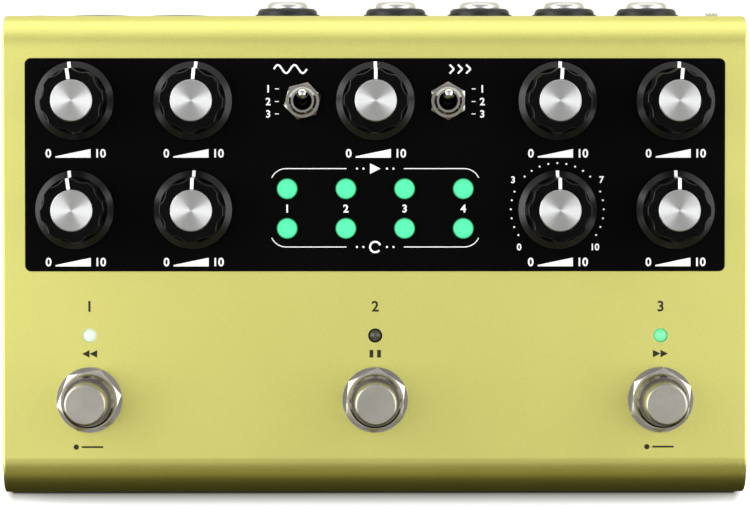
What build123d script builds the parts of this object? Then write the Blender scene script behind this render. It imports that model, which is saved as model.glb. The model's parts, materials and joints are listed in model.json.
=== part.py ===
from build123d import *
import os
from math import cos, pi, radians, sin, tan

# A stomp box for delay effects. Millimetres, +X to the right, +Y to the socket side, +Z up.
# The origin is on the floor, under the middle of the whole box.

# Case: folded aluminium shell, open underneath, rolled front and rear top edges, and a rear panel let in
CASE_WIDTH = 171.5
CASE_DEPTH = 110.5
CASE_WALL = 2.0
EDGE_ROLL = 8.5
SIDE_EDGE_RADIUS = 0.5

# Heights stacked inside the case, from the floor up
FOOT_HEIGHT = 2.0
PLATE_THICKNESS = 2.0
SOCKET_FLOOR_GAP = 0.8
SOCKET_HEIGHT = 17.0
BOARD_THICKNESS = 1.6
CONTROL_SPACE = 8.1

# Clearances: round a fixed piece, round a running one, at a blind end, on a thread, in a press fit
HOLE_GAP = 0.15
RUNNING_GAP = 0.05
END_GAP = 0.5
THREAD_GAP = 0.04
PRESS_GAP = 0.02

# Bottom plate, the folded tabs that it is screwed to, its screws and the rubber feet
PLATE_EDGE_GAP = 0.2
TAB_WIDTH = 10.0
TAB_REACH = 9.0
TAB_THICKNESS = 2.0
TAB_FROM_END = 20.0
SCREW_RADIUS = 1.5
SCREW_HEAD_RADIUS = 2.8
SCREW_HEAD_HEIGHT = 1.5
SCREW_END_PROUD = 0.5
SCREW_DRIVE_FLATS = 2.0
SCREW_DRIVE_DEPTH = 0.9
FOOT_RADIUS = 6.0
FOOT_INSET = 15.0
FOOT_CHAMFER = 0.6

# Control panel: a thin black plate on the rear part of the case top
PANEL_SIDE_MARGIN = 5.25
PANEL_REAR_GAP = 1.45
PANEL_DEPTH = 49.0
PANEL_THICKNESS = 0.3
PANEL_CORNER = 1.4

# Where the controls stand across: shares of the case width, and the pitch of the buttons
OUTER_KNOB_SHARE = 0.4023
INNER_KNOB_SHARE = 0.2443
TOGGLE_SHARE = 0.0974
FOOTSWITCH_SHARE = 0.3834
BUTTON_PITCH = 13.5

# Where they stand from rear to front: shares of the depth that is free where each row goes
KNOB_ROW_SHARE = 0.0615
KNOB_PITCH_SHARE = 0.5385
BUTTON_ROW_SHARES = (0.6122, 0.798)
FOOTSWITCH_ROW_SHARE = 0.2121
LED_ROW_SHARE = 0.3303

# Gaps along the rear wall from left to right: shares of the room that the sockets leave
REAR_GAP_SHARES = (0.0286, 0.0545, 0.0817, 0.0379, 0.0327, 0.2839, 0.1278, 0.1332, 0.1174, 0.0436)

# Degrees that each knob is turned from straight ahead, anticlockwise from above, left to right
REAR_KNOB_TURNS = (8.0, -5.0, 0.0, -3.4, -5.0)
FRONT_KNOB_TURNS = (8.0, -2.0, 0.5, 0.0)

# Potentiometers under the knobs
POT_WIDTH = 9.6
POT_DEPTH = 11.0
POT_BUSHING_RADIUS = 3.5
POT_BUSHING_PROUD = 1.0
POT_NUT_FLATS = 10.0
POT_NUT_THICKNESS = 2.0
SHAFT_RADIUS = 2.95
SHAFT_FLAT = 1.5
SHAFT_SEAT = 5.0
SHAFT_GRIP = 7.0

# Knobs: a skirted, fluted moulding with a spun metal disc let into the top
KNOB_FLOOR_GAP = 0.7
KNOB_HEIGHT = 12.1
SKIRT_RADIUS = 9.0
SKIRT_RIM = 1.0
SKIRT_HEIGHT = 1.9
GRIP_BASE_RADIUS = 7.6
GRIP_TOP_RADIUS = 7.35
GRIP_EDGE = 0.4
FLUTE_COUNT = 8
FLUTE_RADIUS = 4.2
FLUTE_DEPTH = 0.6
KNOB_HOLLOW_RADIUS = 6.1
CAP_RADIUS = 4.75
CAP_THICKNESS = 1.0
CAP_PROUD = 0.25
CAP_EDGE = 0.2

# Toggle switches
TOGGLE_WIDTH = 6.8
TOGGLE_DEPTH = 12.7
TOGGLE_BUSHING_RADIUS = 3.15
TOGGLE_BUSHING_PROUD = 1.9
TOGGLE_BUSHING_EDGE = 0.5
TOGGLE_NUT_FLATS = 7.65
TOGGLE_NUT_THICKNESS = 2.0
TOGGLE_NUT_TURNS = (14.0, 30.0)
TOGGLE_TILT = 11.0
TOGGLE_PIVOT_DROP = 0.6
LEVER_BALL_RADIUS = 1.9
LEVER_STEM_RADIUS = 0.9
LEVER_TIP_RADIUS = 1.25
LEVER_LENGTH = 9.4
LEVER_TAIL_RADIUS = 0.8
LEVER_TAIL_LENGTH = 3.4
LEVER_GAP = 0.3
LEVER_SEAT_SHARE = 0.78

# Lit push buttons and the small switches that they press
BUTTON_RADIUS = 2.35
BUTTON_PROUD = 1.2
BUTTON_EDGE = 0.4
BUTTON_FLANGE_RADIUS = 3.0
BUTTON_FLANGE_THICKNESS = 0.8
BUTTON_FLANGE_GAP = 0.12
BUTTON_STEM_RADIUS = 1.4
BUTTON_STEM_ENGAGED = 1.0
BUTTON_TRAVEL = 0.8
BUTTON_SWITCH_SIZE = 6.0
BUTTON_SWITCH_HEIGHT = 3.8
BUTTON_GAP = 0.08

# Foot switches
FOOTSWITCH_SIZE = 15.0
FOOTSWITCH_BUSHING_RADIUS = 6.0
FOOTSWITCH_BUSHING_HEIGHT = 8.6
FOOTSWITCH_BUSHING_EDGE = 0.4
FOOTSWITCH_WASHER_RADIUS = 7.55
FOOTSWITCH_WASHER_THICKNESS = 0.8
FOOTSWITCH_NUT_FLATS = 13.0
FOOTSWITCH_NUT_THICKNESS = 2.4
FOOTSWITCH_NUT_TURNS = (9.6, 25.4, 25.5)
PLUNGER_RADIUS = 4.75
PLUNGER_HEIGHT = 18.0
PLUNGER_EDGE = 0.55
PLUNGER_IN_BODY = 1.0
PLUNGER_TRAVEL = 2.0
FOOTSWITCH_FLOOR = 1.2
RETURN_SPRING_RADIUS = 3.6
RETURN_SPRING_WALL = 0.8

# Status lights
LED_RADIUS = 1.5
LED_PROUD = 0.7
LED_LENGTH = 4.8
LED_FLANGE_RADIUS = 1.9
LED_FLANGE_THICKNESS = 0.9
LED_LEG_RADIUS = 0.3
LED_LEG_PITCH = 1.9

# Jack sockets along the rear wall
JACK_COUNT = 5
JACK_WIDTH = 13.4
JACK_DEPTH = 27.0
JACK_BELOW_AXIS = 6.2
JACK_BUSHING_RADIUS = 4.7
JACK_BUSHING_PROUD = 1.5
JACK_TIP_ROUND = 1.2
JACK_BORE_RADIUS = 3.25
JACK_END_WALL = 1.4
JACK_WASHER_RADIUS = 7.5
JACK_WASHER_THICKNESS = 0.6
JACK_NUT_RADIUS = 7.0
JACK_NUT_THICKNESS = 1.4
JACK_NUT_ROUND = 1.2

# Round five pin data sockets
DATA_COUNT = 2
DATA_WIDTH = 15.4
DATA_DEPTH = 12.5
DATA_BARREL_RADIUS = 7.2
DATA_PROUD = 0.3
DATA_WELL_RADIUS = 6.7
DATA_WELL_DEPTH = 9.0
DATA_CORE_RADIUS = 5.9
DATA_PIN_CIRCLE_RADIUS = 3.75
DATA_PIN_RADIUS = 0.75
DATA_PIN_DEPTH = 7.0
DATA_PIN_ANGLES = (180.0, 225.0, 270.0, 315.0, 360.0)
DATA_KEY_WIDTH = 2.0
DATA_KEY_DEPTH = 1.2

# Power socket
POWER_WIDTH = 9.0
POWER_DEPTH = 13.5
POWER_BELOW_AXIS = 5.4
POWER_BARREL_RADIUS = 4.1
POWER_PROUD = 0.3
POWER_BORE_RADIUS = 2.85
POWER_BORE_DEPTH = 10.0
POWER_PIN_RADIUS = 1.05
POWER_PIN_SUNK = 1.2

# Data port for a flat plug
PORT_WIDTH = 7.4
PORT_HEIGHT = 3.9
PORT_DEPTH = 7.0
PORT_SHELL = 0.45
PORT_TONGUE_WIDTH = 4.6
PORT_TONGUE_HEIGHT = 1.0
PORT_TONGUE_SUNK = 1.6
PORT_BACK = 1.5
PORT_SUNK = 0.3
PORT_EDGE = 0.8

# Small slide switch at the right end of the rear wall
SLIDE_BODY_WIDTH = 8.6
SLIDE_BODY_HEIGHT = 5.4
SLIDE_BODY_DEPTH = 5.0
SLIDE_BODY_WALL = 0.9
SLIDER_WIDTH = 2.6
SLIDER_HEIGHT = 2.2
SLIDER_PROUD = 0.8
SLIDER_TRAVEL = 2.8
SLIDER_GAP = 0.1
SLIDER_GROOVE_COUNT = 3
SLIDER_GROOVE_WIDTH = 0.4
SLIDER_GROOVE_DEPTH = 0.3

# Circuit board and what is soldered to its underside
BOARD_SIDE_GAP = 2.0
BOARD_REAR_GAP = 1.0
BOARD_FRONT_GAP = 6.0
CHIP_PLACE_SHARES = ((-0.25, 0.3), (-0.05, 0.25), (0.15, 0.3), (0.32, 0.25))
CHIP_WIDTHS = (14.0, 20.0, 10.0, 8.0)
CHIP_THICKNESS = 1.4
CAPACITOR_PLACE_SHARES = ((-0.4, 0.38), (-0.4, 0.2), (0.4, 0.38), (0.4, 0.2))
CAPACITOR_RADIUS = 3.2
CAPACITOR_LENGTH = 7.7

# Every nut: six sides, with its corners turned off on the outer face
HEX_SIDES = 6
NUT_BEVEL_SHARE = 0.55

# Heights worked out from the stack
case_bottom = FOOT_HEIGHT
plate_top = case_bottom + PLATE_THICKNESS
board_bottom = plate_top + SOCKET_FLOOR_GAP + SOCKET_HEIGHT
board_top = board_bottom + BOARD_THICKNESS
inner_top = board_top + CONTROL_SPACE
case_top = inner_top + CASE_WALL
panel_top = case_top + PANEL_THICKNESS
socket_axis = board_bottom - SOCKET_HEIGHT / 2
tab_top = plate_top + TAB_THICKNESS
screw_length = tab_top - case_bottom + SCREW_END_PROUD

# Faces of the case: the box from the front face to the jack tips is centred on the origin
jack_reach = JACK_WASHER_THICKNESS + JACK_NUT_THICKNESS + JACK_BUSHING_PROUD
rear_face = (CASE_DEPTH - jack_reach) / 2
front_face = rear_face - CASE_DEPTH
case_middle = (rear_face + front_face) / 2
rear_inner = rear_face - CASE_WALL
front_inner = front_face + CASE_WALL
side_inner = CASE_WIDTH / 2 - CASE_WALL

# Bands of the case top: the control panel at the rear, then the tread in front of it
panel_rear = rear_face - EDGE_ROLL - PANEL_REAR_GAP
panel_front = panel_rear - PANEL_DEPTH
tread_front = front_face + EDGE_ROLL

# Places of the controls
knob_spare_depth = PANEL_DEPTH - 4 * SKIRT_RADIUS
knob_row_rear = panel_rear - SKIRT_RADIUS - KNOB_ROW_SHARE * knob_spare_depth
knob_row_front = knob_row_rear - 2 * SKIRT_RADIUS - KNOB_PITCH_SHARE * knob_spare_depth
outer_column = OUTER_KNOB_SHARE * CASE_WIDTH
inner_column = INNER_KNOB_SHARE * CASE_WIDTH
rear_knobs = [(x, knob_row_rear) for x in (-outer_column, -inner_column, 0, inner_column, outer_column)]
front_knobs = [(x, knob_row_front) for x in (-outer_column, -inner_column, inner_column, outer_column)]
knob_places = rear_knobs + front_knobs
knob_turns = REAR_KNOB_TURNS + FRONT_KNOB_TURNS
button_rows = [panel_rear - share * PANEL_DEPTH for share in BUTTON_ROW_SHARES]
button_columns = [BUTTON_PITCH * step / 2 for step in (-3, -1, 1, 3)]
button_places = [(x, y) for y in button_rows for x in button_columns]
toggle_places = [(side * TOGGLE_SHARE * CASE_WIDTH, knob_row_rear) for side in (-1, 1)]
footswitch_columns = [side * FOOTSWITCH_SHARE * CASE_WIDTH for side in (-1, 0, 1)]
footswitch_spare_depth = panel_front - tread_front - FOOTSWITCH_SIZE
footswitch_row = tread_front + FOOTSWITCH_SIZE / 2 + FOOTSWITCH_ROW_SHARE * footswitch_spare_depth
footswitch_rear = footswitch_row + FOOTSWITCH_SIZE / 2
led_row = footswitch_rear + LED_ROW_SHARE * (panel_front - footswitch_rear)

# Places along the rear wall: power inlet, data sockets, data port, jacks, slide switch
rear_widths = [POWER_WIDTH] + DATA_COUNT * [DATA_WIDTH] + [PORT_WIDTH]
rear_widths += JACK_COUNT * [2 * JACK_WASHER_RADIUS] + [SLIDE_BODY_WIDTH]
rear_room = 2 * side_inner - sum(rear_widths)
rear_columns = []
rear_reach = -side_inner
for gap_share, width in zip(REAR_GAP_SHARES, rear_widths):
    rear_reach += gap_share * rear_room + width
    rear_columns.append(rear_reach - width / 2)
power_column = rear_columns[0]
data_columns = rear_columns[1 : 1 + DATA_COUNT]
port_column = rear_columns[1 + DATA_COUNT]
jack_columns = rear_columns[2 + DATA_COUNT : -1]
slide_column = rear_columns[-1]
port_axis = board_bottom - PORT_HEIGHT / 2
slide_axis = board_bottom - SLIDE_BODY_HEIGHT / 2

# Heights of the moving pieces
knob_bottom = panel_top + KNOB_FLOOR_GAP
hub_bottom = panel_top + POT_NUT_THICKNESS + POT_BUSHING_PROUD + END_GAP
knob_top = knob_bottom + KNOB_HEIGHT
shaft_top = hub_bottom + SHAFT_GRIP
pivot_height = panel_top - TOGGLE_PIVOT_DROP
toggle_mouth = panel_top + TOGGLE_NUT_THICKNESS + TOGGLE_BUSHING_PROUD
slider_rest = slide_column + SLIDER_TRAVEL / 2

STANDING = (Align.CENTER, Align.CENTER, Align.MIN)


def upright(x, y, bottom, top, radius):
    """A round post between two heights."""
    return Pos(x, y, bottom) * Cylinder(radius, top - bottom, align=STANDING)


def level(x, z, front, rear, radius):
    """A round bar along Y between two planes."""
    return Pos(x, front, z) * Rot(X=-90) * Cylinder(radius, rear - front, align=STANDING)


def block(x, width, front, rear, bottom, top):
    """A box centred on x between planes in Y and heights in Z."""
    middle = (front + rear) / 2
    return Pos(x, middle, bottom) * Box(width, rear - front, top - bottom, align=STANDING)


def turned(outline):
    """The solid that a closed outline of (radius, height) points sweeps about the Z axis."""
    return revolve(Plane.XZ * make_face(Polyline(*outline, close=True)), Axis.Z)


def group(solids):
    """Several separate solids kept as one piece of the assembly."""
    return Compound([solid for shape in solids for solid in shape.solids()])


def nut(flats, thickness, hole_radius, turn):
    """A hexagon nut standing on zero, its outer corners turned off."""
    prism = extrude(RegularPolygon(flats / 2, HEX_SIDES, major_radius=False, rotation=turn), thickness)
    corner = flats / 2 / cos(pi / HEX_SIDES)
    bevel = corner - flats / 2
    shoulder = thickness - NUT_BEVEL_SHARE * bevel
    blank = turned([(0, 0), (corner, 0), (corner, shoulder), (flats / 2, thickness), (0, thickness)])
    return (prism & blank) - Cylinder(hole_radius, thickness, align=STANDING)


def rolled_block(width, depth, bottom, top, roll):
    """A block on the middle of the case whose front and rear top edges are rolled over."""
    side = Pos(case_middle, bottom) * Rectangle(depth, top - bottom, align=(Align.CENTER, Align.MIN))
    side = fillet(side.vertices().group_by(Axis.Y)[-1], roll)
    return extrude(Plane.YZ * side, amount=width / 2, both=True)


def tab_places():
    """Middle of each screw tab, with the direction from its wall to the inside."""
    side_screw = side_inner - TAB_REACH / 2
    rear_screw = rear_inner - TAB_REACH / 2
    front_screw = front_inner + TAB_REACH / 2
    sides = [
        (side * side_screw, y, True)
        for side in (-1, 1)
        for y in (front_inner + TAB_FROM_END, rear_inner - TAB_FROM_END)
    ]
    between_jacks = (jack_columns[0] + jack_columns[1]) / 2
    return sides + [(0, front_screw, False), (between_jacks, rear_screw, False)]


def screw_tab(x, y, at_side):
    """One folded tab with its screw hole."""
    width, depth = (TAB_REACH, TAB_WIDTH) if at_side else (TAB_WIDTH, TAB_REACH)
    tab = block(x, width, y - depth / 2, y + depth / 2, plate_top, tab_top)
    return tab - upright(x, y, plate_top, tab_top, SCREW_RADIUS + THREAD_GAP)


def rear_opening():
    """The room between the side walls, below the rolled rear edge, that the rear panel fills."""
    return block(0, 2 * side_inner, rear_inner, rear_face, case_bottom, case_top - EDGE_ROLL)


def casing():
    """The shell with the screw tabs of its sides and front, and every hole in its top."""
    shell = rolled_block(CASE_WIDTH, CASE_DEPTH, case_bottom, case_top, EDGE_ROLL)
    end_faces = shell.faces().filter_by(Axis.X)
    end_edges = [edge for face in end_faces for edge in face.edges() if edge.center().Z > plate_top]
    shell = fillet(end_edges, SIDE_EDGE_RADIUS)
    inner_depth = CASE_DEPTH - 2 * CASE_WALL
    shell -= rolled_block(2 * side_inner, inner_depth, case_bottom, inner_top, EDGE_ROLL - CASE_WALL)
    for place in tab_places()[:-1]:
        shell += screw_tab(*place)
    cuts = [rear_opening()]
    cuts += [upright(x, y, inner_top, case_top, radius) for x, y, radius in panel_holes()]
    bushing_hole = FOOTSWITCH_BUSHING_RADIUS + HOLE_GAP
    for x in footswitch_columns:
        cuts.append(upright(x, footswitch_row, inner_top, case_top, bushing_hole))
        cuts.append(upright(x, led_row, inner_top, case_top, LED_RADIUS + HOLE_GAP))
    return shell - cuts


def rear_panel():
    """The plate in the rear wall that the sockets look through, with the rear screw tab."""
    panel = rear_opening() + screw_tab(*tab_places()[-1])
    cuts = []
    for x in jack_columns:
        cuts.append(level(x, socket_axis, rear_inner, rear_face, JACK_BUSHING_RADIUS + HOLE_GAP))
    for x in data_columns:
        cuts.append(level(x, socket_axis, rear_inner, rear_face, DATA_BARREL_RADIUS + HOLE_GAP))
    cuts.append(level(power_column, socket_axis, rear_inner, rear_face, POWER_BARREL_RADIUS + HOLE_GAP))
    cuts.append(port_shell(PORT_WIDTH + 2 * HOLE_GAP, PORT_HEIGHT + 2 * HOLE_GAP, rear_inner, rear_face))
    cuts.append(slider_way(HOLE_GAP, rear_inner, rear_face))
    return panel - cuts


def panel_holes():
    """Place and radius of each hole through the control panel and the case top under it."""
    holes = [(x, y, POT_BUSHING_RADIUS + HOLE_GAP) for x, y in knob_places]
    holes += [(x, y, TOGGLE_BUSHING_RADIUS + HOLE_GAP) for x, y in toggle_places]
    holes += [(x, y, BUTTON_RADIUS + BUTTON_GAP) for x, y in button_places]
    return holes


def control_panel():
    """Thin black plate that frames the knobs, toggles and buttons."""
    width = CASE_WIDTH - 2 * PANEL_SIDE_MARGIN
    sheet = RectangleRounded(width, PANEL_DEPTH, PANEL_CORNER)
    plate = Pos(0, panel_rear - PANEL_DEPTH / 2, case_top) * extrude(sheet, PANEL_THICKNESS)
    return plate - [upright(x, y, case_top, panel_top, radius) for x, y, radius in panel_holes()]


def screw_outline(gap):
    """Half outline of a countersunk screw, head down, grown all round by a gap."""
    head = SCREW_HEAD_RADIUS + gap
    shank = SCREW_RADIUS + gap
    return [(0, 0), (head, 0), (shank, SCREW_HEAD_HEIGHT), (shank, screw_length), (0, screw_length)]


def bottom_plate():
    """Flat cover between the case walls, countersunk for its screws."""
    width = 2 * (side_inner - PLATE_EDGE_GAP)
    front = front_inner + PLATE_EDGE_GAP
    rear = rear_inner - PLATE_EDGE_GAP
    plate = block(0, width, front, rear, case_bottom, plate_top)
    return plate - [Pos(x, y, case_bottom) * turned(screw_outline(PRESS_GAP)) for x, y, _ in tab_places()]


def bottom_screws():
    """Countersunk screws from the underside into the tabs."""
    drive = extrude(RegularPolygon(SCREW_DRIVE_FLATS / 2, HEX_SIDES, major_radius=False), SCREW_DRIVE_DEPTH)
    screw = turned(screw_outline(0)) - drive
    return group([Pos(x, y, case_bottom) * screw for x, y, _ in tab_places()])


def feet():
    """Four round rubber feet under the bottom plate."""
    outline = [
        (0, 0),
        (FOOT_RADIUS - FOOT_CHAMFER, 0),
        (FOOT_RADIUS, FOOT_CHAMFER),
        (FOOT_RADIUS, FOOT_HEIGHT),
        (0, FOOT_HEIGHT),
    ]
    foot = turned(outline)
    across = CASE_WIDTH / 2 - FOOT_INSET
    rows = (front_face + FOOT_INSET, rear_face - FOOT_INSET)
    return group([Pos(side * across, y, 0) * foot for side in (-1, 1) for y in rows])


def potentiometers():
    """Boxes between board and case top, each with a threaded bushing bored for the shaft."""
    bushing_top = panel_top + POT_NUT_THICKNESS + POT_BUSHING_PROUD
    bore_bottom = inner_top - SHAFT_SEAT - END_GAP
    bodies = []
    for x, y in knob_places:
        body = block(x, POT_WIDTH, y - POT_DEPTH / 2, y + POT_DEPTH / 2, board_top, inner_top)
        body += upright(x, y, inner_top, bushing_top, POT_BUSHING_RADIUS)
        bodies.append(body - upright(x, y, bore_bottom, bushing_top, SHAFT_RADIUS + RUNNING_GAP))
    return group(bodies)


def potentiometer_nuts():
    """Nuts that hold the potentiometers, hidden under the knobs."""
    pot_nut = nut(POT_NUT_FLATS, POT_NUT_THICKNESS, POT_BUSHING_RADIUS + THREAD_GAP, 0)
    return group([Pos(x, y, panel_top) * pot_nut for x, y in knob_places])


def flatted_post(radius, flat, bottom, top):
    """A round post on the Z axis with one flat side towards -Y."""
    beyond = block(0, 2 * radius, -2 * radius, -flat, bottom, top)
    return upright(0, 0, bottom, top, radius) - beyond


def knob_moulding():
    """Skirted and fluted knob on the Z axis, hollow underneath and bored for its shaft."""
    skirt_top = knob_bottom + SKIRT_HEIGHT
    outline = [
        (0, knob_bottom),
        (SKIRT_RADIUS, knob_bottom),
        (SKIRT_RADIUS, knob_bottom + SKIRT_RIM),
        (GRIP_BASE_RADIUS, skirt_top),
        (GRIP_TOP_RADIUS, knob_top),
        (0, knob_top),
    ]
    body = turned(outline)
    flute_circle = GRIP_TOP_RADIUS + FLUTE_RADIUS - FLUTE_DEPTH
    flute = upright(flute_circle, 0, skirt_top, knob_top, FLUTE_RADIUS)
    body -= [Rot(Z=360 * (step + 1 / 2) / FLUTE_COUNT) * flute for step in range(FLUTE_COUNT)]
    top_edges = body.faces().sort_by(Axis.Z)[-1].outer_wire().edges()
    body = fillet(top_edges, GRIP_EDGE)
    body -= upright(0, 0, knob_bottom, hub_bottom, KNOB_HOLLOW_RADIUS)
    bore_radius = SHAFT_RADIUS + PRESS_GAP
    body -= flatted_post(bore_radius, SHAFT_FLAT + PRESS_GAP, hub_bottom, shaft_top + PRESS_GAP)
    return body - upright(0, 0, knob_top + CAP_PROUD - CAP_THICKNESS, knob_top, CAP_RADIUS + PRESS_GAP)


def knob(x, y, turn):
    """A knob with the potentiometer shaft that it is pressed on."""
    shaft = upright(0, 0, inner_top - SHAFT_SEAT, hub_bottom, SHAFT_RADIUS)
    shaft += flatted_post(SHAFT_RADIUS, SHAFT_FLAT, hub_bottom, shaft_top)
    return group([Pos(x, y, 0) * Rot(Z=turn) * solid for solid in (knob_moulding(), shaft)])


def knob_cap(x, y):
    """Spun aluminium disc in the top of a knob."""
    bottom = knob_top + CAP_PROUD - CAP_THICKNESS
    disc = upright(x, y, bottom, knob_top + CAP_PROUD, CAP_RADIUS)
    return chamfer(disc.edges().group_by(Axis.Z)[-1], CAP_EDGE)


def toggle_bodies():
    """Toggle switch boxes, with a flared bore for the lever and a round chamber for its ball."""
    seat = LEVER_SEAT_SHARE * LEVER_BALL_RADIUS
    tilt = radians(TOGGLE_TILT)
    reach = toggle_mouth - pivot_height
    seat_radius = seat * tan(tilt) + LEVER_TIP_RADIUS / cos(tilt) + RUNNING_GAP
    mouth_radius = reach * tan(tilt) + LEVER_TIP_RADIUS / cos(tilt) + RUNNING_GAP
    chamber_radius = LEVER_BALL_RADIUS + RUNNING_GAP
    chamber_bottom = pivot_height - LEVER_TAIL_LENGTH - LEVER_GAP
    bore = [
        (0, chamber_bottom),
        (chamber_radius, chamber_bottom),
        (chamber_radius, pivot_height + seat),
        (seat_radius, pivot_height + seat),
        (mouth_radius, toggle_mouth),
        (0, toggle_mouth),
    ]
    bodies = []
    for x, y in toggle_places:
        body = block(x, TOGGLE_WIDTH, y - TOGGLE_DEPTH / 2, y + TOGGLE_DEPTH / 2, board_top, inner_top)
        bushing = upright(x, y, inner_top, toggle_mouth, TOGGLE_BUSHING_RADIUS)
        bushing = chamfer(bushing.edges().group_by(Axis.Z)[-1], TOGGLE_BUSHING_EDGE)
        bodies.append(body + bushing - Pos(x, y, 0) * turned(bore))
    return group(bodies)


def toggle_nuts():
    """Nuts that hold the toggle switches."""
    hole = TOGGLE_BUSHING_RADIUS + THREAD_GAP
    nuts = [
        Pos(x, y, panel_top) * nut(TOGGLE_NUT_FLATS, TOGGLE_NUT_THICKNESS, hole, turn)
        for (x, y), turn in zip(toggle_places, TOGGLE_NUT_TURNS)
    ]
    return group(nuts)


def toggle_lever(x, y):
    """Bat lever on its ball, tipped to the rear."""
    stem = LEVER_LENGTH - LEVER_TIP_RADIUS
    lever = Sphere(LEVER_BALL_RADIUS)
    lever += Cone(LEVER_STEM_RADIUS, LEVER_TIP_RADIUS, stem, align=STANDING)
    lever += Pos(0, 0, stem) * Sphere(LEVER_TIP_RADIUS)
    lever += upright(0, 0, -LEVER_TAIL_LENGTH, 0, LEVER_TAIL_RADIUS)
    return Pos(x, y, pivot_height) * Rot(X=-TOGGLE_TILT) * lever


def button_switches():
    """Small square switches on the board, each with a well for a button's stem."""
    top = board_top + BUTTON_SWITCH_HEIGHT
    well_bottom = top - BUTTON_STEM_ENGAGED - BUTTON_TRAVEL - END_GAP
    half = BUTTON_SWITCH_SIZE / 2
    switches = []
    for x, y in button_places:
        body = block(x, BUTTON_SWITCH_SIZE, y - half, y + half, board_top, top)
        switches.append(body - upright(x, y, well_bottom, top, BUTTON_STEM_RADIUS + BUTTON_GAP))
    return group(switches)


def button(x, y):
    """Clear lit button, kept in by a flange under the case top."""
    flange_top = inner_top - BUTTON_FLANGE_GAP
    flange_bottom = flange_top - BUTTON_FLANGE_THICKNESS
    top = panel_top + BUTTON_PROUD
    stem_bottom = board_top + BUTTON_SWITCH_HEIGHT - BUTTON_STEM_ENGAGED
    body = upright(x, y, flange_top, top, BUTTON_RADIUS)
    body = fillet(body.edges().group_by(Axis.Z)[-1], BUTTON_EDGE)
    body += upright(x, y, flange_bottom, flange_top, BUTTON_FLANGE_RADIUS)
    return body + upright(x, y, stem_bottom, flange_bottom, BUTTON_STEM_RADIUS)


def footswitch_bodies():
    """Foot switch boxes with a threaded bushing, bored for the plunger and its spring."""
    half = FOOTSWITCH_SIZE / 2
    floor = board_top + FOOTSWITCH_FLOOR
    mouth = case_top + FOOTSWITCH_BUSHING_HEIGHT
    bore_radius = PLUNGER_RADIUS + RUNNING_GAP
    bodies = []
    for x in footswitch_columns:
        bushing = upright(x, footswitch_row, inner_top, mouth, FOOTSWITCH_BUSHING_RADIUS)
        bushing = chamfer(bushing.edges().group_by(Axis.Z)[-1], FOOTSWITCH_BUSHING_EDGE)
        box = block(x, FOOTSWITCH_SIZE, footswitch_row - half, footswitch_row + half, board_top, inner_top)
        bodies.append(box + bushing - upright(x, footswitch_row, floor, mouth, bore_radius))
    return group(bodies)


def footswitch_springs():
    """Return springs, as plain sleeves at their pressed length on the floor of each bore."""
    bottom = board_top + FOOTSWITCH_FLOOR
    top = inner_top - PLUNGER_IN_BODY - PLUNGER_TRAVEL - END_GAP
    hollow = RETURN_SPRING_RADIUS - RETURN_SPRING_WALL
    sleeves = []
    for x in footswitch_columns:
        sleeve = upright(x, footswitch_row, bottom, top, RETURN_SPRING_RADIUS)
        sleeves.append(sleeve - upright(x, footswitch_row, bottom, top, hollow))
    return group(sleeves)


def footswitch_washers():
    """Plain washers under the foot switch nuts."""
    top = case_top + FOOTSWITCH_WASHER_THICKNESS
    hole = FOOTSWITCH_BUSHING_RADIUS + HOLE_GAP
    washers = []
    for x in footswitch_columns:
        washer = upright(x, footswitch_row, case_top, top, FOOTSWITCH_WASHER_RADIUS)
        washers.append(washer - upright(x, footswitch_row, case_top, top, hole))
    return group(washers)


def footswitch_nuts():
    """Nuts that hold the foot switches."""
    bottom = case_top + FOOTSWITCH_WASHER_THICKNESS
    hole = FOOTSWITCH_BUSHING_RADIUS + THREAD_GAP
    nuts = [
        Pos(x, footswitch_row, bottom) * nut(FOOTSWITCH_NUT_FLATS, FOOTSWITCH_NUT_THICKNESS, hole, turn)
        for x, turn in zip(footswitch_columns, FOOTSWITCH_NUT_TURNS)
    ]
    return group(nuts)


def footswitch_plunger(x):
    """Round metal plunger with a softened top edge."""
    bottom = inner_top - PLUNGER_IN_BODY
    body = upright(x, footswitch_row, bottom, case_top + PLUNGER_HEIGHT, PLUNGER_RADIUS)
    return fillet(body.edges().group_by(Axis.Z)[-1], PLUNGER_EDGE)


def status_led(x):
    """Round light with a domed lens, a flange and two legs down to the board."""
    dome = case_top + LED_PROUD - LED_RADIUS
    flange_bottom = case_top + LED_PROUD - LED_LENGTH
    lamp = upright(x, led_row, flange_bottom, dome, LED_RADIUS)
    lamp += Pos(x, led_row, dome) * Sphere(LED_RADIUS)
    lamp += upright(x, led_row, flange_bottom, flange_bottom + LED_FLANGE_THICKNESS, LED_FLANGE_RADIUS)
    for side in (-1, 1):
        lamp += upright(x + side * LED_LEG_PITCH / 2, led_row, board_top, flange_bottom, LED_LEG_RADIUS)
    return lamp


def jack_sockets():
    """Jack bodies under the board, each with a round tipped bushing through the rear wall."""
    tip = rear_face + jack_reach
    front = rear_inner - JACK_DEPTH
    sockets = []
    for x in jack_columns:
        bushing = level(x, socket_axis, rear_inner, tip, JACK_BUSHING_RADIUS)
        bushing = fillet(bushing.edges().group_by(Axis.Y)[-1], JACK_TIP_ROUND)
        body = bushing + block(x, JACK_WIDTH, front, rear_inner, socket_axis - JACK_BELOW_AXIS, board_bottom)
        sockets.append(body - level(x, socket_axis, front + JACK_END_WALL, tip, JACK_BORE_RADIUS))
    return group(sockets)


def jack_washers():
    """Washers between the rear wall and the jack nuts."""
    outside = rear_face + JACK_WASHER_THICKNESS
    hole = JACK_BUSHING_RADIUS + HOLE_GAP
    washers = []
    for x in jack_columns:
        washer = level(x, socket_axis, rear_face, outside, JACK_WASHER_RADIUS)
        washers.append(washer - level(x, socket_axis, rear_face, outside, hole))
    return group(washers)


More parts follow.
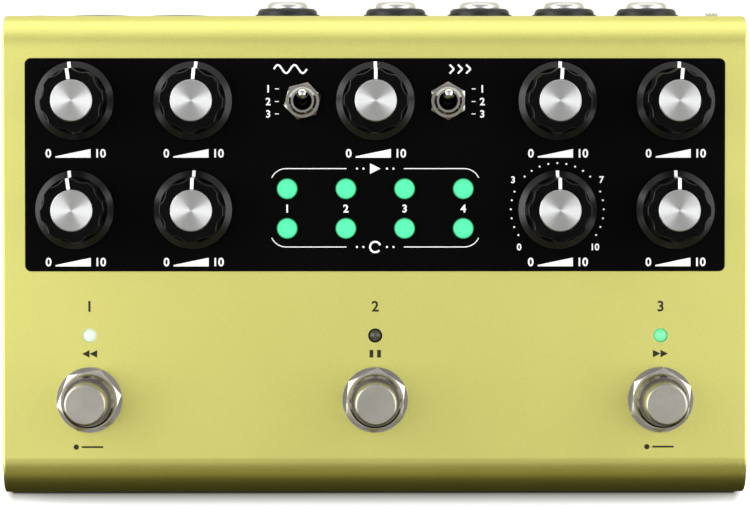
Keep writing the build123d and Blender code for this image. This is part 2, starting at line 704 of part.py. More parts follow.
def jack_nuts():
    """Round dress nuts that hold the jacks in the rear wall."""
    hole = JACK_BUSHING_RADIUS + THREAD_GAP
    inside = rear_face + JACK_WASHER_THICKNESS
    outside = inside + JACK_NUT_THICKNESS
    nuts = []
    for x in jack_columns:
        dome = level(x, socket_axis, inside, outside, JACK_NUT_RADIUS)
        dome = fillet(dome.edges().group_by(Axis.Y)[-1], JACK_NUT_ROUND)
        nuts.append(dome - level(x, socket_axis, inside, outside, hole))
    return group(nuts)


def data_sockets():
    """Shells of the five pin sockets, each with a round well for the plug's skirt."""
    mouth = rear_face + DATA_PROUD
    front = rear_inner - DATA_DEPTH
    bottom = board_bottom - SOCKET_HEIGHT
    sockets = []
    for x in data_columns:
        body = block(x, DATA_WIDTH, front, rear_inner, bottom, board_bottom)
        body += level(x, socket_axis, rear_inner, mouth, DATA_BARREL_RADIUS)
        sockets.append(body - level(x, socket_axis, mouth - DATA_WELL_DEPTH, mouth, DATA_WELL_RADIUS))
    return group(sockets)


def data_socket_cores():
    """Round cores on the floors of the wells, with a key slot and the pin holes."""
    mouth = rear_face + DATA_PROUD
    floor = mouth - DATA_WELL_DEPTH
    key_top = socket_axis + DATA_CORE_RADIUS
    cores = []
    for x in data_columns:
        core = level(x, socket_axis, floor, mouth, DATA_CORE_RADIUS)
        core -= block(x, DATA_KEY_WIDTH, floor, mouth, key_top - DATA_KEY_DEPTH, key_top)
        for angle in DATA_PIN_ANGLES:
            across = DATA_PIN_CIRCLE_RADIUS * cos(radians(angle))
            up = DATA_PIN_CIRCLE_RADIUS * sin(radians(angle))
            core -= level(x + across, socket_axis + up, mouth - DATA_PIN_DEPTH, mouth, DATA_PIN_RADIUS)
        cores.append(core)
    return group(cores)


def power_socket():
    """Round power inlet with a centre pin."""
    mouth = rear_face + POWER_PROUD
    front = rear_inner - POWER_DEPTH
    floor = mouth - POWER_BORE_DEPTH
    body = block(power_column, POWER_WIDTH, front, rear_inner, socket_axis - POWER_BELOW_AXIS, board_bottom)
    body += level(power_column, socket_axis, rear_inner, mouth, POWER_BARREL_RADIUS)
    body -= level(power_column, socket_axis, floor, mouth, POWER_BORE_RADIUS)
    return body + level(power_column, socket_axis, floor, mouth - POWER_PIN_SUNK, POWER_PIN_RADIUS)


def port_shell(width, height, front, rear):
    """Flat port outline with cut lower corners, drawn out along Y."""
    half = width / 2
    outline = Polyline(
        (half, height / 2),
        (-half, height / 2),
        (-half, PORT_EDGE - height / 2),
        (PORT_EDGE - half, -height / 2),
        (half - PORT_EDGE, -height / 2),
        (half, PORT_EDGE - height / 2),
        close=True,
    )
    bar = extrude(Plane.XZ * make_face(outline), rear - front, dir=(0, 1, 0))
    return Pos(port_column, front, port_axis) * bar


def usb_socket():
    """Flat data port: a folded metal shell round a tongue."""
    front = rear_inner - PORT_DEPTH
    mouth = rear_face - PORT_SUNK
    back = front + PORT_BACK
    body = port_shell(PORT_WIDTH, PORT_HEIGHT, front, mouth)
    body -= port_shell(PORT_WIDTH - 2 * PORT_SHELL, PORT_HEIGHT - 2 * PORT_SHELL, back, mouth)
    half = PORT_TONGUE_HEIGHT / 2
    tip = mouth - PORT_TONGUE_SUNK
    return body + block(port_column, PORT_TONGUE_WIDTH, back, tip, port_axis - half, port_axis + half)


def slider_way(gap, front, rear):
    """The room that the slider sweeps, grown by a gap, between two planes."""
    run = SLIDER_WIDTH + SLIDER_TRAVEL + 2 * gap
    half = SLIDER_HEIGHT / 2 + gap
    return block(slide_column, run, front, rear, slide_axis - half, slide_axis + half)


def level_switch_body():
    """Slide switch case under the board, open to the rear for its slider."""
    front = rear_inner - SLIDE_BODY_DEPTH
    half = SLIDE_BODY_HEIGHT / 2
    body = block(slide_column, SLIDE_BODY_WIDTH, front, rear_inner, slide_axis - half, slide_axis + half)
    return body - slider_way(SLIDER_GAP, front + SLIDE_BODY_WALL, rear_inner)


def level_switch_slider():
    """Grooved slider that stands just proud of the rear wall."""
    tip = rear_face + SLIDER_PROUD
    front = rear_inner - SLIDE_BODY_DEPTH + SLIDE_BODY_WALL + SLIDER_GAP
    half = SLIDER_HEIGHT / 2
    body = block(slider_rest, SLIDER_WIDTH, front, tip, slide_axis - half, slide_axis + half)
    pitch = SLIDER_WIDTH / SLIDER_GROOVE_COUNT
    groove_floor = tip - SLIDER_GROOVE_DEPTH
    for step in range(SLIDER_GROOVE_COUNT):
        x = slider_rest + pitch * (step - (SLIDER_GROOVE_COUNT - 1) / 2)
        body -= block(x, SLIDER_GROOVE_WIDTH, groove_floor, tip, slide_axis - half, slide_axis + half)
    return body


def board_span():
    """Front edge, rear edge and width of the circuit board."""
    return front_inner + BOARD_FRONT_GAP, rear_inner - BOARD_REAR_GAP, 2 * (side_inner - BOARD_SIDE_GAP)


def main_board():
    """Circuit board that carries every control above it and every socket below it."""
    front, rear, width = board_span()
    return block(0, width, front, rear, board_bottom, board_top)


def board_chips():
    """Flat chips under the front half of the board."""
    front, rear, width = board_span()
    bottom = board_bottom - CHIP_THICKNESS
    chips = []
    for (across, along), size in zip(CHIP_PLACE_SHARES, CHIP_WIDTHS):
        y = front + along * (rear - front)
        chips.append(block(across * width, size, y - size / 2, y + size / 2, bottom, board_bottom))
    return group(chips)


def board_capacitors():
    """Round capacitors under the front corners of the board."""
    front, rear, width = board_span()
    bottom = board_bottom - CAPACITOR_LENGTH
    cans = []
    for across, along in CAPACITOR_PLACE_SHARES:
        y = front + along * (rear - front)
        cans.append(upright(across * width, y, bottom, board_bottom, CAPACITOR_RADIUS))
    return group(cans)


pieces = {
    "casing": casing(),
    "rear_panel": rear_panel(),
    "bottom_plate": bottom_plate(),
    "bottom_screws": bottom_screws(),
    "feet": feet(),
    "control_panel": control_panel(),
    "potentiometers": potentiometers(),
    "potentiometer_nuts": potentiometer_nuts(),
    "toggle_bodies": toggle_bodies(),
    "toggle_nuts": toggle_nuts(),
    "button_switches": button_switches(),
    "footswitch_bodies": footswitch_bodies(),
    "footswitch_springs": footswitch_springs(),
    "footswitch_washers": footswitch_washers(),
    "footswitch_nuts": footswitch_nuts(),
    "lit_leds": group([status_led(footswitch_columns[0]), status_led(footswitch_columns[2])]),
    "unlit_led": status_led(footswitch_columns[1]),
    "jack_sockets": jack_sockets(),
    "jack_washers": jack_washers(),
    "jack_nuts": jack_nuts(),
    "data_sockets": data_sockets(),
    "data_socket_cores": data_socket_cores(),
    "power_socket": power_socket(),
    "usb_socket": usb_socket(),
    "level_switch_body": level_switch_body(),
    "level_switch_slider": level_switch_slider(),
    "main_board": main_board(),
    "board_chips": board_chips(),
    "board_capacitors": board_capacitors(),
}
for number, ((x, y), turn) in enumerate(zip(knob_places, knob_turns), start=1):
    pieces[f"knob_{number}"] = knob(x, y, turn)
    pieces[f"knob_cap_{number}"] = knob_cap(x, y)
for number, (x, y) in enumerate(button_places, start=1):
    pieces[f"button_{number}"] = button(x, y)
for side, (x, y) in zip(("left", "right"), toggle_places):
    pieces[f"toggle_lever_{side}"] = toggle_lever(x, y)
for side, x in zip(("left", "middle", "right"), footswitch_columns):
    pieces[f"footswitch_plunger_{side}"] = footswitch_plunger(x)

os.makedirs("parts", exist_ok=True)
for name, piece in pieces.items():
    export_step(piece, f"parts/{name}.step")
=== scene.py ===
"""Looks of a wide delay stomp box: gold case, black control panel, knobs, lit buttons and foot switches."""

import bmesh
import bpy
import json
from math import ceil, cos, pi, radians, sin, tau
from mathutils import Matrix, Vector


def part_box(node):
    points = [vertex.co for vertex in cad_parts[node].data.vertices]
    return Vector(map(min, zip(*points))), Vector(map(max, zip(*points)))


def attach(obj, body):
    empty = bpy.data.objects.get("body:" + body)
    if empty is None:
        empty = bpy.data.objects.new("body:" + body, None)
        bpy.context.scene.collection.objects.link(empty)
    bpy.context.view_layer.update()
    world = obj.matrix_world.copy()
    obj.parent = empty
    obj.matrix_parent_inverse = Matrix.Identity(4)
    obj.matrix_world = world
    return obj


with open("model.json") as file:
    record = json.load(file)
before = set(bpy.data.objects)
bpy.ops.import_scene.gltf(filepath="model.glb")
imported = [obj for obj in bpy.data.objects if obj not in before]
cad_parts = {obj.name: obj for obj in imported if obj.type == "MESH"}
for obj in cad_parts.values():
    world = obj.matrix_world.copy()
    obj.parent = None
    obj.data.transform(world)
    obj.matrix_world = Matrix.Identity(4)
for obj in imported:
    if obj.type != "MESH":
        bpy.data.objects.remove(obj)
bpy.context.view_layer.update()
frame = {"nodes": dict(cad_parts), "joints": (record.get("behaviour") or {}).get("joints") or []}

MM = 0.001

# Numbers of the knobs, and of the buttons in the rear row
KNOB_NUMBERS = range(1, 10)
BUTTON_NUMBERS = range(1, 5)

# Knob moulding, as it stands above the panel
KNOB_HEIGHT = 12.1 * MM
SKIRT_RADIUS = 9.0 * MM
SKIRT_RIM = 1.0 * MM
SKIRT_HEIGHT = 1.9 * MM
GRIP_BASE_RADIUS = 7.6 * MM
GRIP_TOP_RADIUS = 7.35 * MM
GRIP_EDGE = 0.4 * MM

# White pointer line let into each knob
POINTER_WIDTH = 0.76 * MM
POINTER_PROUD = 0.03 * MM
POINTER_SUNK = 0.05 * MM
POINTER_CAP_GAP = 0.12 * MM
POINTER_RIM_REACH = 0.7 * MM
POINTER_EDGE_STEPS = 4

# Ink: its thickness, how far it is keyed into what it is printed on, and line widths
INK_PROUD = 0.02 * MM
INK_SUNK = 0.02 * MM
INK_WELD = INK_PROUD / 20
LINE_WIDTH = 0.2 * MM
SYMBOL_LINE_WIDTH = 0.42 * MM
DOT_SIDES = 20
ARC_STEPS = 10
NUMERAL_WEIGHT = 0.024
NUMERAL_CURVE_STEPS = 5

# Numbers and marks on the control panel, measured from the middle of what they belong to
SCALE_DROP = 12.05 * MM
SCALE_HEIGHT = 2.0 * MM
SCALE_LOW_END = -6.1 * MM
SCALE_HIGH_END = 6.0 * MM
SCALE_WEDGE_START = -4.5 * MM
SCALE_WEDGE_END = 3.6 * MM
SCALE_WEDGE_THIN = 0.3 * MM
BUTTON_NUMBER_HEIGHT = 1.85 * MM
BRACKET_HALF_WIDTH = 20.5 * MM
BRACKET_GAP_HALF = 6.6 * MM
BRACKET_FROM_ROW = 4.46 * MM
BRACKET_END_RADIUS = 3.64 * MM
BRACKET_END_DEGREES = (25, 90)
BRACKET_SHIFT = 0.17 * MM
BRACKET_SYMBOL_SIZE = 2.4 * MM
BRACKET_DOT_RADIUS = 0.24 * MM
BRACKET_DOT_PITCH = 1.5 * MM
LOOP_SYMBOL_DEGREES = (20, 320)
LOOP_SYMBOL_STEPS = 30
DIAL_KNOB = 8
DIAL_RADIUS = 10.7 * MM
DIAL_DOT_RADIUS = 0.22 * MM
DIAL_STEP_DEGREES = 11.2
DIAL_LAST_STEP = 11
DIAL_NUMBER_STEPS = {-12: "0", -5: "3", 5: "7", 12: "10"}
DIAL_NUMBER_RADIUS = 12.3 * MM
DIAL_NUMBER_HEIGHT = 1.6 * MM
TOGGLE_HEADING_UP = 7.3 * MM
TOGGLE_HEADING_ACROSS = 2.8 * MM
TOGGLE_NUMBER_ACROSS = 7.9 * MM
TOGGLE_NUMBER_ROWS = (2.75 * MM, -0.15 * MM, -3.0 * MM)
TOGGLE_NUMBER_HEIGHT = 1.75 * MM
TOGGLE_TICK_ACROSS = 5.9 * MM
TOGGLE_TICK_LENGTH = 0.9 * MM
WAVE_LENGTH = 7.6 * MM
WAVE_RISE = 0.95 * MM
WAVE_STEPS = 24
WAVE_CRESTS = 2
CHEVRON_SIZE = 1.0 * MM
CHEVRON_PITCH = 1.9 * MM

# Dark marks on the tread, measured from each status light
TREAD_NUMBER_UP = 6.75 * MM
TREAD_NUMBER_HEIGHT = 2.5 * MM
TREAD_SYMBOL_DROP = 4.2 * MM
TREAD_SYMBOL_SIZE = 1.75 * MM
HOLD_MARK_DROP = 25.7 * MM
HOLD_MARK_LENGTH = 6.2 * MM
HOLD_MARK_RADIUS = 0.62 * MM

# Screw threads cut on the bushings
FOOTSWITCH_THREAD_RADIUS = 5.98 * MM
FOOTSWITCH_THREAD_PITCH = 0.75 * MM
FOOTSWITCH_BUSHING_EDGE = 0.4 * MM
TOGGLE_THREAD_RADIUS = 3.13 * MM
TOGGLE_THREAD_PITCH = 0.6 * MM
TOGGLE_BUSHING_EDGE = 0.5 * MM
THREAD_DEPTH_SHARE = 0.2
THREAD_WALL = 0.12 * MM
THREAD_SIDES = 64
THREAD_STEPS_PER_TURN = 6

# Toggle lever: painted shade, black up to a little under the mouth of its bushing and fading out to bright
# chrome by a little over it
LEVER_PAINTED_SHADE_UNDER = 0.2 * MM
LEVER_PAINTED_SHADE_OVER = 0.6 * MM

# Rubbed edges: rays that look for a turn in the surface, and how strongly a turn shows
EDGE_SAMPLES = 6
EDGE_STRENGTH = 6.0

# Colour sockets of the node that mixes: the colour below, the one above and the result
MIX_BELOW = 6
MIX_ABOVE = 7
MIX_RESULT = 2

# Floor, the depth of the shadow painted along the front of the case, and how far the painted shadow runs
# past the sides
FLOOR_RADIUS = 6.0
FLOOR_SIDES = 96
PAINTED_SHADE_REACH = 6.0 * MM
PAINTED_SHADE_SIDE_REACH = 3.0 * MM

# Studio light, and softboxes: the spot of each one, its width, its height and the brightness of its cloth
STUDIO_BRIGHTNESS = 1.12
SOFTBOXES = {
    "softbox_left": ((-0.62, 0.16, 0.5), 0.8, 0.6, 2.7),
    "softbox_right": ((0.62, 0.1, 0.5), 0.75, 0.55, 1.6),
}

# Cards that only reflections see: how far off they stand, and their reach along X in case half widths
CARD_GAP = 0.5 * MM
FRONT_CARD_DISTANCE = 100.0 * MM
REAR_CARD_DISTANCE = 80.0 * MM
BRIGHT_CARD_DISTANCE = 650.0 * MM
FRONT_CARD_REACH = 4
REAR_CARD_REACH = 2

# Foot, head and glow of the upright cards, and the glow of the cards that lie on the floor
FRONT_FLOOR_GLOW = (0.015, 0.011, 0.001)
FRONT_CARDS = {
    "front_low_card": (CARD_GAP, 0.05, (0.03, 0.024, 0.002)),
    "front_card": (0.05, 0.085, (0.02, 0.016, 0.001)),
    "front_strip": (0.085, 0.125, (0.33, 0.29, 0.1)),
    "front_high_card": (0.125, 0.3, (0.15, 0.14, 0.07)),
    "front_top_card": (0.3, 0.5, (0.34, 0.33, 0.25)),
}
REAR_FLOOR_GLOW = (0.85, 0.83, 0.7)
REAR_CARDS = {
    "rear_low_card": (0.08, 0.115, (0.7, 0.7, 0.7)),
    "rear_card": (0.115, 0.155, (0.2, 0.2, 0.2)),
    "rear_high_card": (0.155, 0.4, (0.58, 0.58, 0.58)),
}
BRIGHT_CARD_EDGES = (-0.6, 0.6)
BRIGHT_CARD_HEAD = 0.2
BRIGHT_CARD_GLOW = (1.3, 1.3, 1.3)

# Card above the case: its edges along X and Y, its height and its glow
TOP_CARD_EDGES = (-0.17, 0.23)
TOP_CARD_FRONT = -0.2
TOP_CARD_REAR = 0.32
TOP_CARD_HEIGHT = 0.95
TOP_CARD_GLOW = (0.5, 0.5, 0.5)

# Camera: high above the case, a little to the left and rear of its middle, and its lens
CAMERA_HEIGHT = 900.0 * MM
CAMERA_ACROSS = -9.0 * MM
CAMERA_BACK = 28.0 * MM
CAMERA_AIM = (-0.05 * MM, 0.05 * MM)
CAMERA_SENSOR = 36.0
CAMERA_LENS = 187.8


def middle(node):
    """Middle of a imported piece's box."""
    low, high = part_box(node)
    return (low + high) / 2


panel_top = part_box("control_panel")[1].z
case_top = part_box("casing")[1].z
case_middle = middle("casing")
SIDES = ("left", "middle", "right")


# Shader helpers


def add(tree, kind, values=None, **settings):
    """A shader node with its settings and the plain values of its sockets."""
    node = tree.nodes.new(kind)
    for name, value in settings.items():
        setattr(node, name, value)
    for name, value in (values or {}).items():
        node.inputs[name].default_value = value
    return node


def spread(tree, mask, low, high):
    """A mask from 0 to 1 turned into a value between two limits."""
    node = add(tree, "ShaderNodeMapRange", {"To Min": low, "To Max": high})
    tree.links.new(mask, node.inputs["Value"])
    return node.outputs["Result"]


def tint(tree, mask, *stops):
    """Colours along a mask from 0 to 1, each stop a spot on it and a colour."""
    node = add(tree, "ShaderNodeValToRGB")
    elements = node.color_ramp.elements
    while len(elements) < len(stops):
        elements.new(0.5)
    for element, (spot, colour) in zip(elements, stops):
        element.position = spot
        element.color = (*colour, 1.0)
    tree.links.new(mask, node.inputs["Fac"])
    return node.outputs["Color"]


def over(tree, mask, below, above):
    """One colour laid over another where a mask is 1."""
    node = add(tree, "ShaderNodeMix", data_type="RGBA")
    tree.links.new(mask, node.inputs["Factor"])
    tree.links.new(below, node.inputs[MIX_BELOW])
    if isinstance(above, tuple):
        node.inputs[MIX_ABOVE].default_value = (*above, 1.0)
    else:
        tree.links.new(above, node.inputs[MIX_ABOVE])
    return node.outputs[MIX_RESULT]


def reckon(tree, operation, first, second, clamp=False):
    """Arithmetic on two sockets or values."""
    node = add(tree, "ShaderNodeMath", operation=operation, use_clamp=clamp)
    for socket, value in zip(node.inputs, (first, second)):
        if isinstance(value, (int, float)):
            socket.default_value = value
        else:
            tree.links.new(value, socket)
    return node.outputs["Value"]


def diagonal(tree, across, along, clamp=False):
    """Distance that two distances at right angles make together."""
    squares = [reckon(tree, "MULTIPLY", side, side) for side in (across, along)]
    return reckon(tree, "POWER", reckon(tree, "ADD", *squares), 0.5, clamp=clamp)


def position(tree):
    """X, Y and Z of a place on the surface, in metres."""
    where = add(tree, "ShaderNodeSeparateXYZ")
    tree.links.new(add(tree, "ShaderNodeTexCoord").outputs["Object"], where.inputs["Vector"])
    return where.outputs


def start_finish(name, values):
    """A new material, with the plain values set on its shader's own sockets."""
    finish = bpy.data.materials.new(name)
    finish.use_nodes = True
    tree = finish.node_tree
    shader = tree.nodes["Principled BSDF"]
    for socket, value in values.items():
        shader.inputs[socket].default_value = value
    return finish, tree, shader


def roughen(tree, shader, height, strength, distance):
    """Fine relief on a surface from a height that varies over it."""
    bump = add(tree, "ShaderNodeBump", {"Strength": strength, "Distance": distance})
    tree.links.new(height, bump.inputs["Height"])
    tree.links.new(bump.outputs["Normal"], shader.inputs["Normal"])


def new_group(name, inputs, outputs):
    """An empty shader node group with named value sockets."""
    tree = bpy.data.node_groups.new(name, "ShaderNodeTree")
    for socket, value in inputs.items():
        made = tree.interface.new_socket(socket, in_out="INPUT", socket_type="NodeSocketFloat")
        made.default_value = value
    for socket in outputs:
        tree.interface.new_socket(socket, in_out="OUTPUT", socket_type="NodeSocketFloat")
    return tree, tree.nodes.new("NodeGroupInput"), tree.nodes.new("NodeGroupOutput")


def place(tree, group, values):
    """One of the shared effects, placed in a material with its own values."""
    return add(tree, "ShaderNodeGroup", values, node_tree=group).outputs


# Effects that several finishes share


def make_grain():
    """Speckle of a blasted, painted or moulded surface, with the broad clouds that handling leaves."""
    inputs = {"Grains per metre": 3000.0, "Clouds per metre": 30.0}
    tree, given, out = new_group("surface grain", inputs, ("Grain", "Cloud"))
    spot = add(tree, "ShaderNodeTexCoord").outputs["Object"]
    for socket, result, detail in (("Grains per metre", "Grain", 3.0), ("Clouds per metre", "Cloud", 4.0)):
        noise = add(tree, "ShaderNodeTexNoise", {"Detail": detail, "Roughness": 0.6})
        tree.links.new(spot, noise.inputs["Vector"])
        tree.links.new(given.outputs[socket], noise.inputs["Scale"])
        tree.links.new(noise.outputs["Fac"], out.inputs[result])
    return tree


def make_edge_wear():
    """Rubbed edges: where the surface turns within a short reach, broken up by patches."""
    tree, given, out = new_group("edge wear", {"Reach": 0.0003, "Patches per metre": 400.0}, ("Worn",))
    rounded = add(tree, "ShaderNodeBevel", samples=EDGE_SAMPLES)
    tree.links.new(given.outputs["Reach"], rounded.inputs["Radius"])
    plain = add(tree, "ShaderNodeNewGeometry").outputs["Normal"]
    likeness = add(tree, "ShaderNodeVectorMath", operation="DOT_PRODUCT")
    tree.links.new(rounded.outputs["Normal"], likeness.inputs[0])
    tree.links.new(plain, likeness.inputs[1])
    turned = reckon(tree, "SUBTRACT", 1.0, likeness.outputs["Value"])
    patches = add(tree, "ShaderNodeTexNoise", {"Detail": 4.0})
    tree.links.new(add(tree, "ShaderNodeTexCoord").outputs["Object"], patches.inputs["Vector"])
    tree.links.new(given.outputs["Patches per metre"], patches.inputs["Scale"])
    broken = reckon(tree, "MULTIPLY", turned, patches.outputs["Fac"])
    tree.links.new(reckon(tree, "MULTIPLY", broken, EDGE_STRENGTH, clamp=True), out.inputs["Worn"])
    return tree


def make_scratches():
    """Fine straight scratches that run one way, as on turned or brushed metal."""
    inputs = {"Lines per metre": 9000.0, "Stretch": 0.02}
    tree, given, out = new_group("hair scratches", inputs, ("Scratch",))
    stretched = add(tree, "ShaderNodeMapping")
    across = add(tree, "ShaderNodeCombineXYZ", {"Y": 1.0, "Z": 1.0})
    tree.links.new(given.outputs["Stretch"], across.inputs["X"])
    tree.links.new(across.outputs["Vector"], stretched.inputs["Scale"])
    tree.links.new(add(tree, "ShaderNodeTexCoord").outputs["Object"], stretched.inputs["Vector"])
    noise = add(tree, "ShaderNodeTexNoise", {"Detail": 2.0, "Roughness": 0.5})
    tree.links.new(stretched.outputs["Vector"], noise.inputs["Vector"])
    tree.links.new(given.outputs["Lines per metre"], noise.inputs["Scale"])
    tree.links.new(noise.outputs["Fac"], out.inputs["Scratch"])
    return tree


def make_middle_distance():
    """How far a place on a round piece lies from its middle, seen from above, as a share of its width."""
    tree, given, out = new_group("distance from the middle", {"Stretch": 1.0}, ("Distance",))
    centred = add(tree, "ShaderNodeMapping", {"Location": (-0.5, -0.5, 0.0), "Scale": (1.0, 1.0, 0.0)})
    tree.links.new(add(tree, "ShaderNodeTexCoord").outputs["Generated"], centred.inputs["Vector"])
    length = add(tree, "ShaderNodeVectorMath", operation="LENGTH")
    tree.links.new(centred.outputs["Vector"], length.inputs[0])
    stretched = reckon(tree, "MULTIPLY", length.outputs["Value"], given.outputs["Stretch"])
    tree.links.new(stretched, out.inputs["Distance"])
    return tree


GRAIN = make_grain()
MIDDLE_DISTANCE = make_middle_distance()
EDGE_WEAR = make_edge_wear()
SCRATCHES = make_scratches()


# Finishes


def gold_anodising():
    """Blasted aluminium, anodised pale yellow gold, a little brighter where edges are rubbed."""
    finish, tree, shader = start_finish("gold_anodising", {"Metallic": 1.0})
    grain = place(tree, GRAIN, {"Grains per metre": 2600.0, "Clouds per metre": 22.0})
    worn = place(tree, EDGE_WEAR, {"Reach": 0.5 * MM, "Patches per metre": 260.0})["Worn"]
    shares = (("Grain", 0.6), ("Cloud", 0.4))
    parts = [reckon(tree, "MULTIPLY", grain[part], share) for part, share in shares]
    speckle = reckon(tree, "ADD", *parts)
    gold = tint(tree, speckle, (0.3, (0.77, 0.74, 0.215)), (0.7, (0.87, 0.84, 0.265)))
    tree.links.new(over(tree, worn, gold, (0.9, 0.88, 0.44)), shader.inputs["Base Color"])
    tree.links.new(spread(tree, grain["Grain"], low=0.34, high=0.46), shader.inputs["Roughness"])
    roughen(tree, shader, grain["Grain"], strength=0.12, distance=0.03 * MM)
    return finish


def panel_lacquer():
    """Satin black lacquer with a faint orange peel."""
    finish, tree, shader = start_finish("panel_lacquer", {"Specular IOR Level": 0.03})
    grain = place(tree, GRAIN, {"Grains per metre": 3500.0, "Clouds per metre": 45.0})
    black = tint(tree, grain["Cloud"], (0.3, (0.0009, 0.0008, 0.0008)), (0.75, (0.0015, 0.0014, 0.0014)))
    tree.links.new(black, shader.inputs["Base Color"])
    tree.links.new(spread(tree, grain["Cloud"], low=0.36, high=0.52), shader.inputs["Roughness"])
    roughen(tree, shader, grain["Grain"], strength=0.1, distance=0.01 * MM)
    return finish


def ink(name, thin, thick):
    """Screen printed ink, a little uneven in its cover."""
    finish, tree, shader = start_finish(name, {"Specular IOR Level": 0.3})
    grain = place(tree, GRAIN, {"Grains per metre": 5200.0, "Clouds per metre": 300.0})
    tree.links.new(tint(tree, grain["Grain"], (0.25, thin), (0.6, thick)), shader.inputs["Base Color"])
    tree.links.new(spread(tree, grain["Cloud"], low=0.5, high=0.7), shader.inputs["Roughness"])
    roughen(tree, shader, grain["Grain"], strength=0.15, distance=0.005 * MM)
    return finish


def knob_plastic():
    """Black moulding with a matt land round its cap, a polished skirt and flutes, and rubbed edges."""
    values = {"Specular IOR Level": 0.02, "Coat IOR": 1.5, "Coat Roughness": 0.32}
    finish, tree, shader = start_finish("knob_plastic", values)
    facing = add(tree, "ShaderNodeSeparateXYZ")
    tree.links.new(add(tree, "ShaderNodeTexCoord").outputs["Normal"], facing.inputs["Vector"])
    polishes = ((0.0, 0.5), (0.6, 0.25), (0.76, 0.88), (0.88, 0.88), (0.93, 0.0))
    stops = [(upward, (polish,) * 3) for upward, polish in polishes]
    tree.links.new(tint(tree, facing.outputs["Z"], *stops), shader.inputs["Coat Weight"])
    grain = place(tree, GRAIN, {"Grains per metre": 2500.0, "Clouds per metre": 160.0})
    worn = place(tree, EDGE_WEAR, {"Reach": 0.25 * MM, "Patches per metre": 900.0})["Worn"]
    black = tint(tree, grain["Cloud"], (0.3, (0.0018, 0.0018, 0.0019)), (0.75, (0.0036, 0.0036, 0.0037)))
    tree.links.new(over(tree, worn, black, (0.012, 0.012, 0.0125)), shader.inputs["Base Color"])
    tree.links.new(spread(tree, grain["Cloud"], low=0.3, high=0.5), shader.inputs["Roughness"])
    roughen(tree, shader, grain["Grain"], strength=0.06, distance=0.01 * MM)
    return finish


def spun_aluminium():
    """Aluminium disc with turning marks round its middle."""
    values = {"Metallic": 1.0, "Anisotropic": 0.95, "Anisotropic Rotation": 0.25}
    finish, tree, shader = start_finish("spun_aluminium", values)
    centred = add(tree, "ShaderNodeMapping", {"Location": (-0.5, -0.5, 0.0)})
    tree.links.new(add(tree, "ShaderNodeTexCoord").outputs["Generated"], centred.inputs["Vector"])
    marks = {"Scale": 14.0, "Distortion": 0.6, "Detail": 3.0}
    rings = add(tree, "ShaderNodeTexWave", marks, wave_type="RINGS", rings_direction="Z")
    tree.links.new(centred.outputs["Vector"], rings.inputs["Vector"])
    tone = tint(tree, rings.outputs["Fac"], (0.0, (0.6, 0.605, 0.61)), (1.0, (0.73, 0.735, 0.74)))
    tree.links.new(tone, shader.inputs["Base Color"])
    tree.links.new(spread(tree, rings.outputs["Fac"], low=0.3, high=0.42), shader.inputs["Roughness"])
    turning = add(tree, "ShaderNodeTangent", direction_type="RADIAL", axis="Z")
    tree.links.new(turning.outputs["Tangent"], shader.inputs["Tangent"])
    roughen(tree, shader, rings.outputs["Fac"], strength=0.05, distance=0.01 * MM)
    return finish


def bright_metal(name, dull, clean, rubbed, roughness, lines):
    """Plated metal with fine scratches, dulled in clouds and polished on its edges."""
    finish, tree, shader = start_finish(name, {"Metallic": 1.0})
    grain = place(tree, GRAIN, {"Grains per metre": 4000.0, "Clouds per metre": 220.0})
    scratch = place(tree, SCRATCHES, {"Lines per metre": lines, "Stretch": 0.03})["Scratch"]
    worn = place(tree, EDGE_WEAR, {"Reach": 0.25 * MM, "Patches per metre": 700.0})["Worn"]
    metal = tint(tree, grain["Cloud"], (0.3, dull), (0.7, clean))
    tree.links.new(over(tree, worn, metal, rubbed), shader.inputs["Base Color"])
    mixed = reckon(tree, "MULTIPLY", reckon(tree, "ADD", scratch, grain["Cloud"]), 0.5)
    tree.links.new(spread(tree, mixed, *roughness), shader.inputs["Roughness"])
    roughen(tree, shader, scratch, strength=0.08, distance=0.01 * MM)
    return finish


def lever_chrome():
    """Chromed lever, with shade painted black where its ball sits down in the bushing."""
    finish, tree, shader = start_finish("lever_chrome", {"Metallic": 1.0})
    grain = place(tree, GRAIN, {"Grains per metre": 4000.0, "Clouds per metre": 260.0})
    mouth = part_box("toggle_bodies")[1].z
    # Painted shade: the lever turns black below the bushing's mouth, where it sits in the dark bore
    limits = {"From Min": mouth - LEVER_PAINTED_SHADE_UNDER, "From Max": mouth + LEVER_PAINTED_SHADE_OVER}
    out_of_painted_shade = add(tree, "ShaderNodeMapRange", limits)
    tree.links.new(position(tree)["Z"], out_of_painted_shade.inputs["Value"])
    black = tint(tree, grain["Cloud"], (0.3, (0.03, 0.03, 0.03)), (0.7, (0.06, 0.06, 0.06)))
    bright = tint(tree, grain["Cloud"], (0.3, (0.66, 0.66, 0.66)), (0.7, (0.8, 0.8, 0.8)))
    tree.links.new(over(tree, out_of_painted_shade.outputs["Result"], black, bright), shader.inputs["Base Color"])
    tree.links.new(spread(tree, grain["Cloud"], low=0.05, high=0.16), shader.inputs["Roughness"])
    roughen(tree, shader, grain["Grain"], strength=0.04, distance=0.01 * MM)
    return finish


def moulded_plastic(name, dark, light, roughness):
    """Plain moulded plastic or rubber with a fine even grain."""
    finish, tree, shader = start_finish(name, {"Specular IOR Level": 0.4})
    grain = place(tree, GRAIN, {"Grains per metre": 3200.0, "Clouds per metre": 120.0})
    tree.links.new(tint(tree, grain["Cloud"], (0.3, dark), (0.7, light)), shader.inputs["Base Color"])
    tree.links.new(spread(tree, grain["Grain"], *roughness), shader.inputs["Roughness"])
    roughen(tree, shader, grain["Grain"], strength=0.2, distance=0.02 * MM)
    return finish


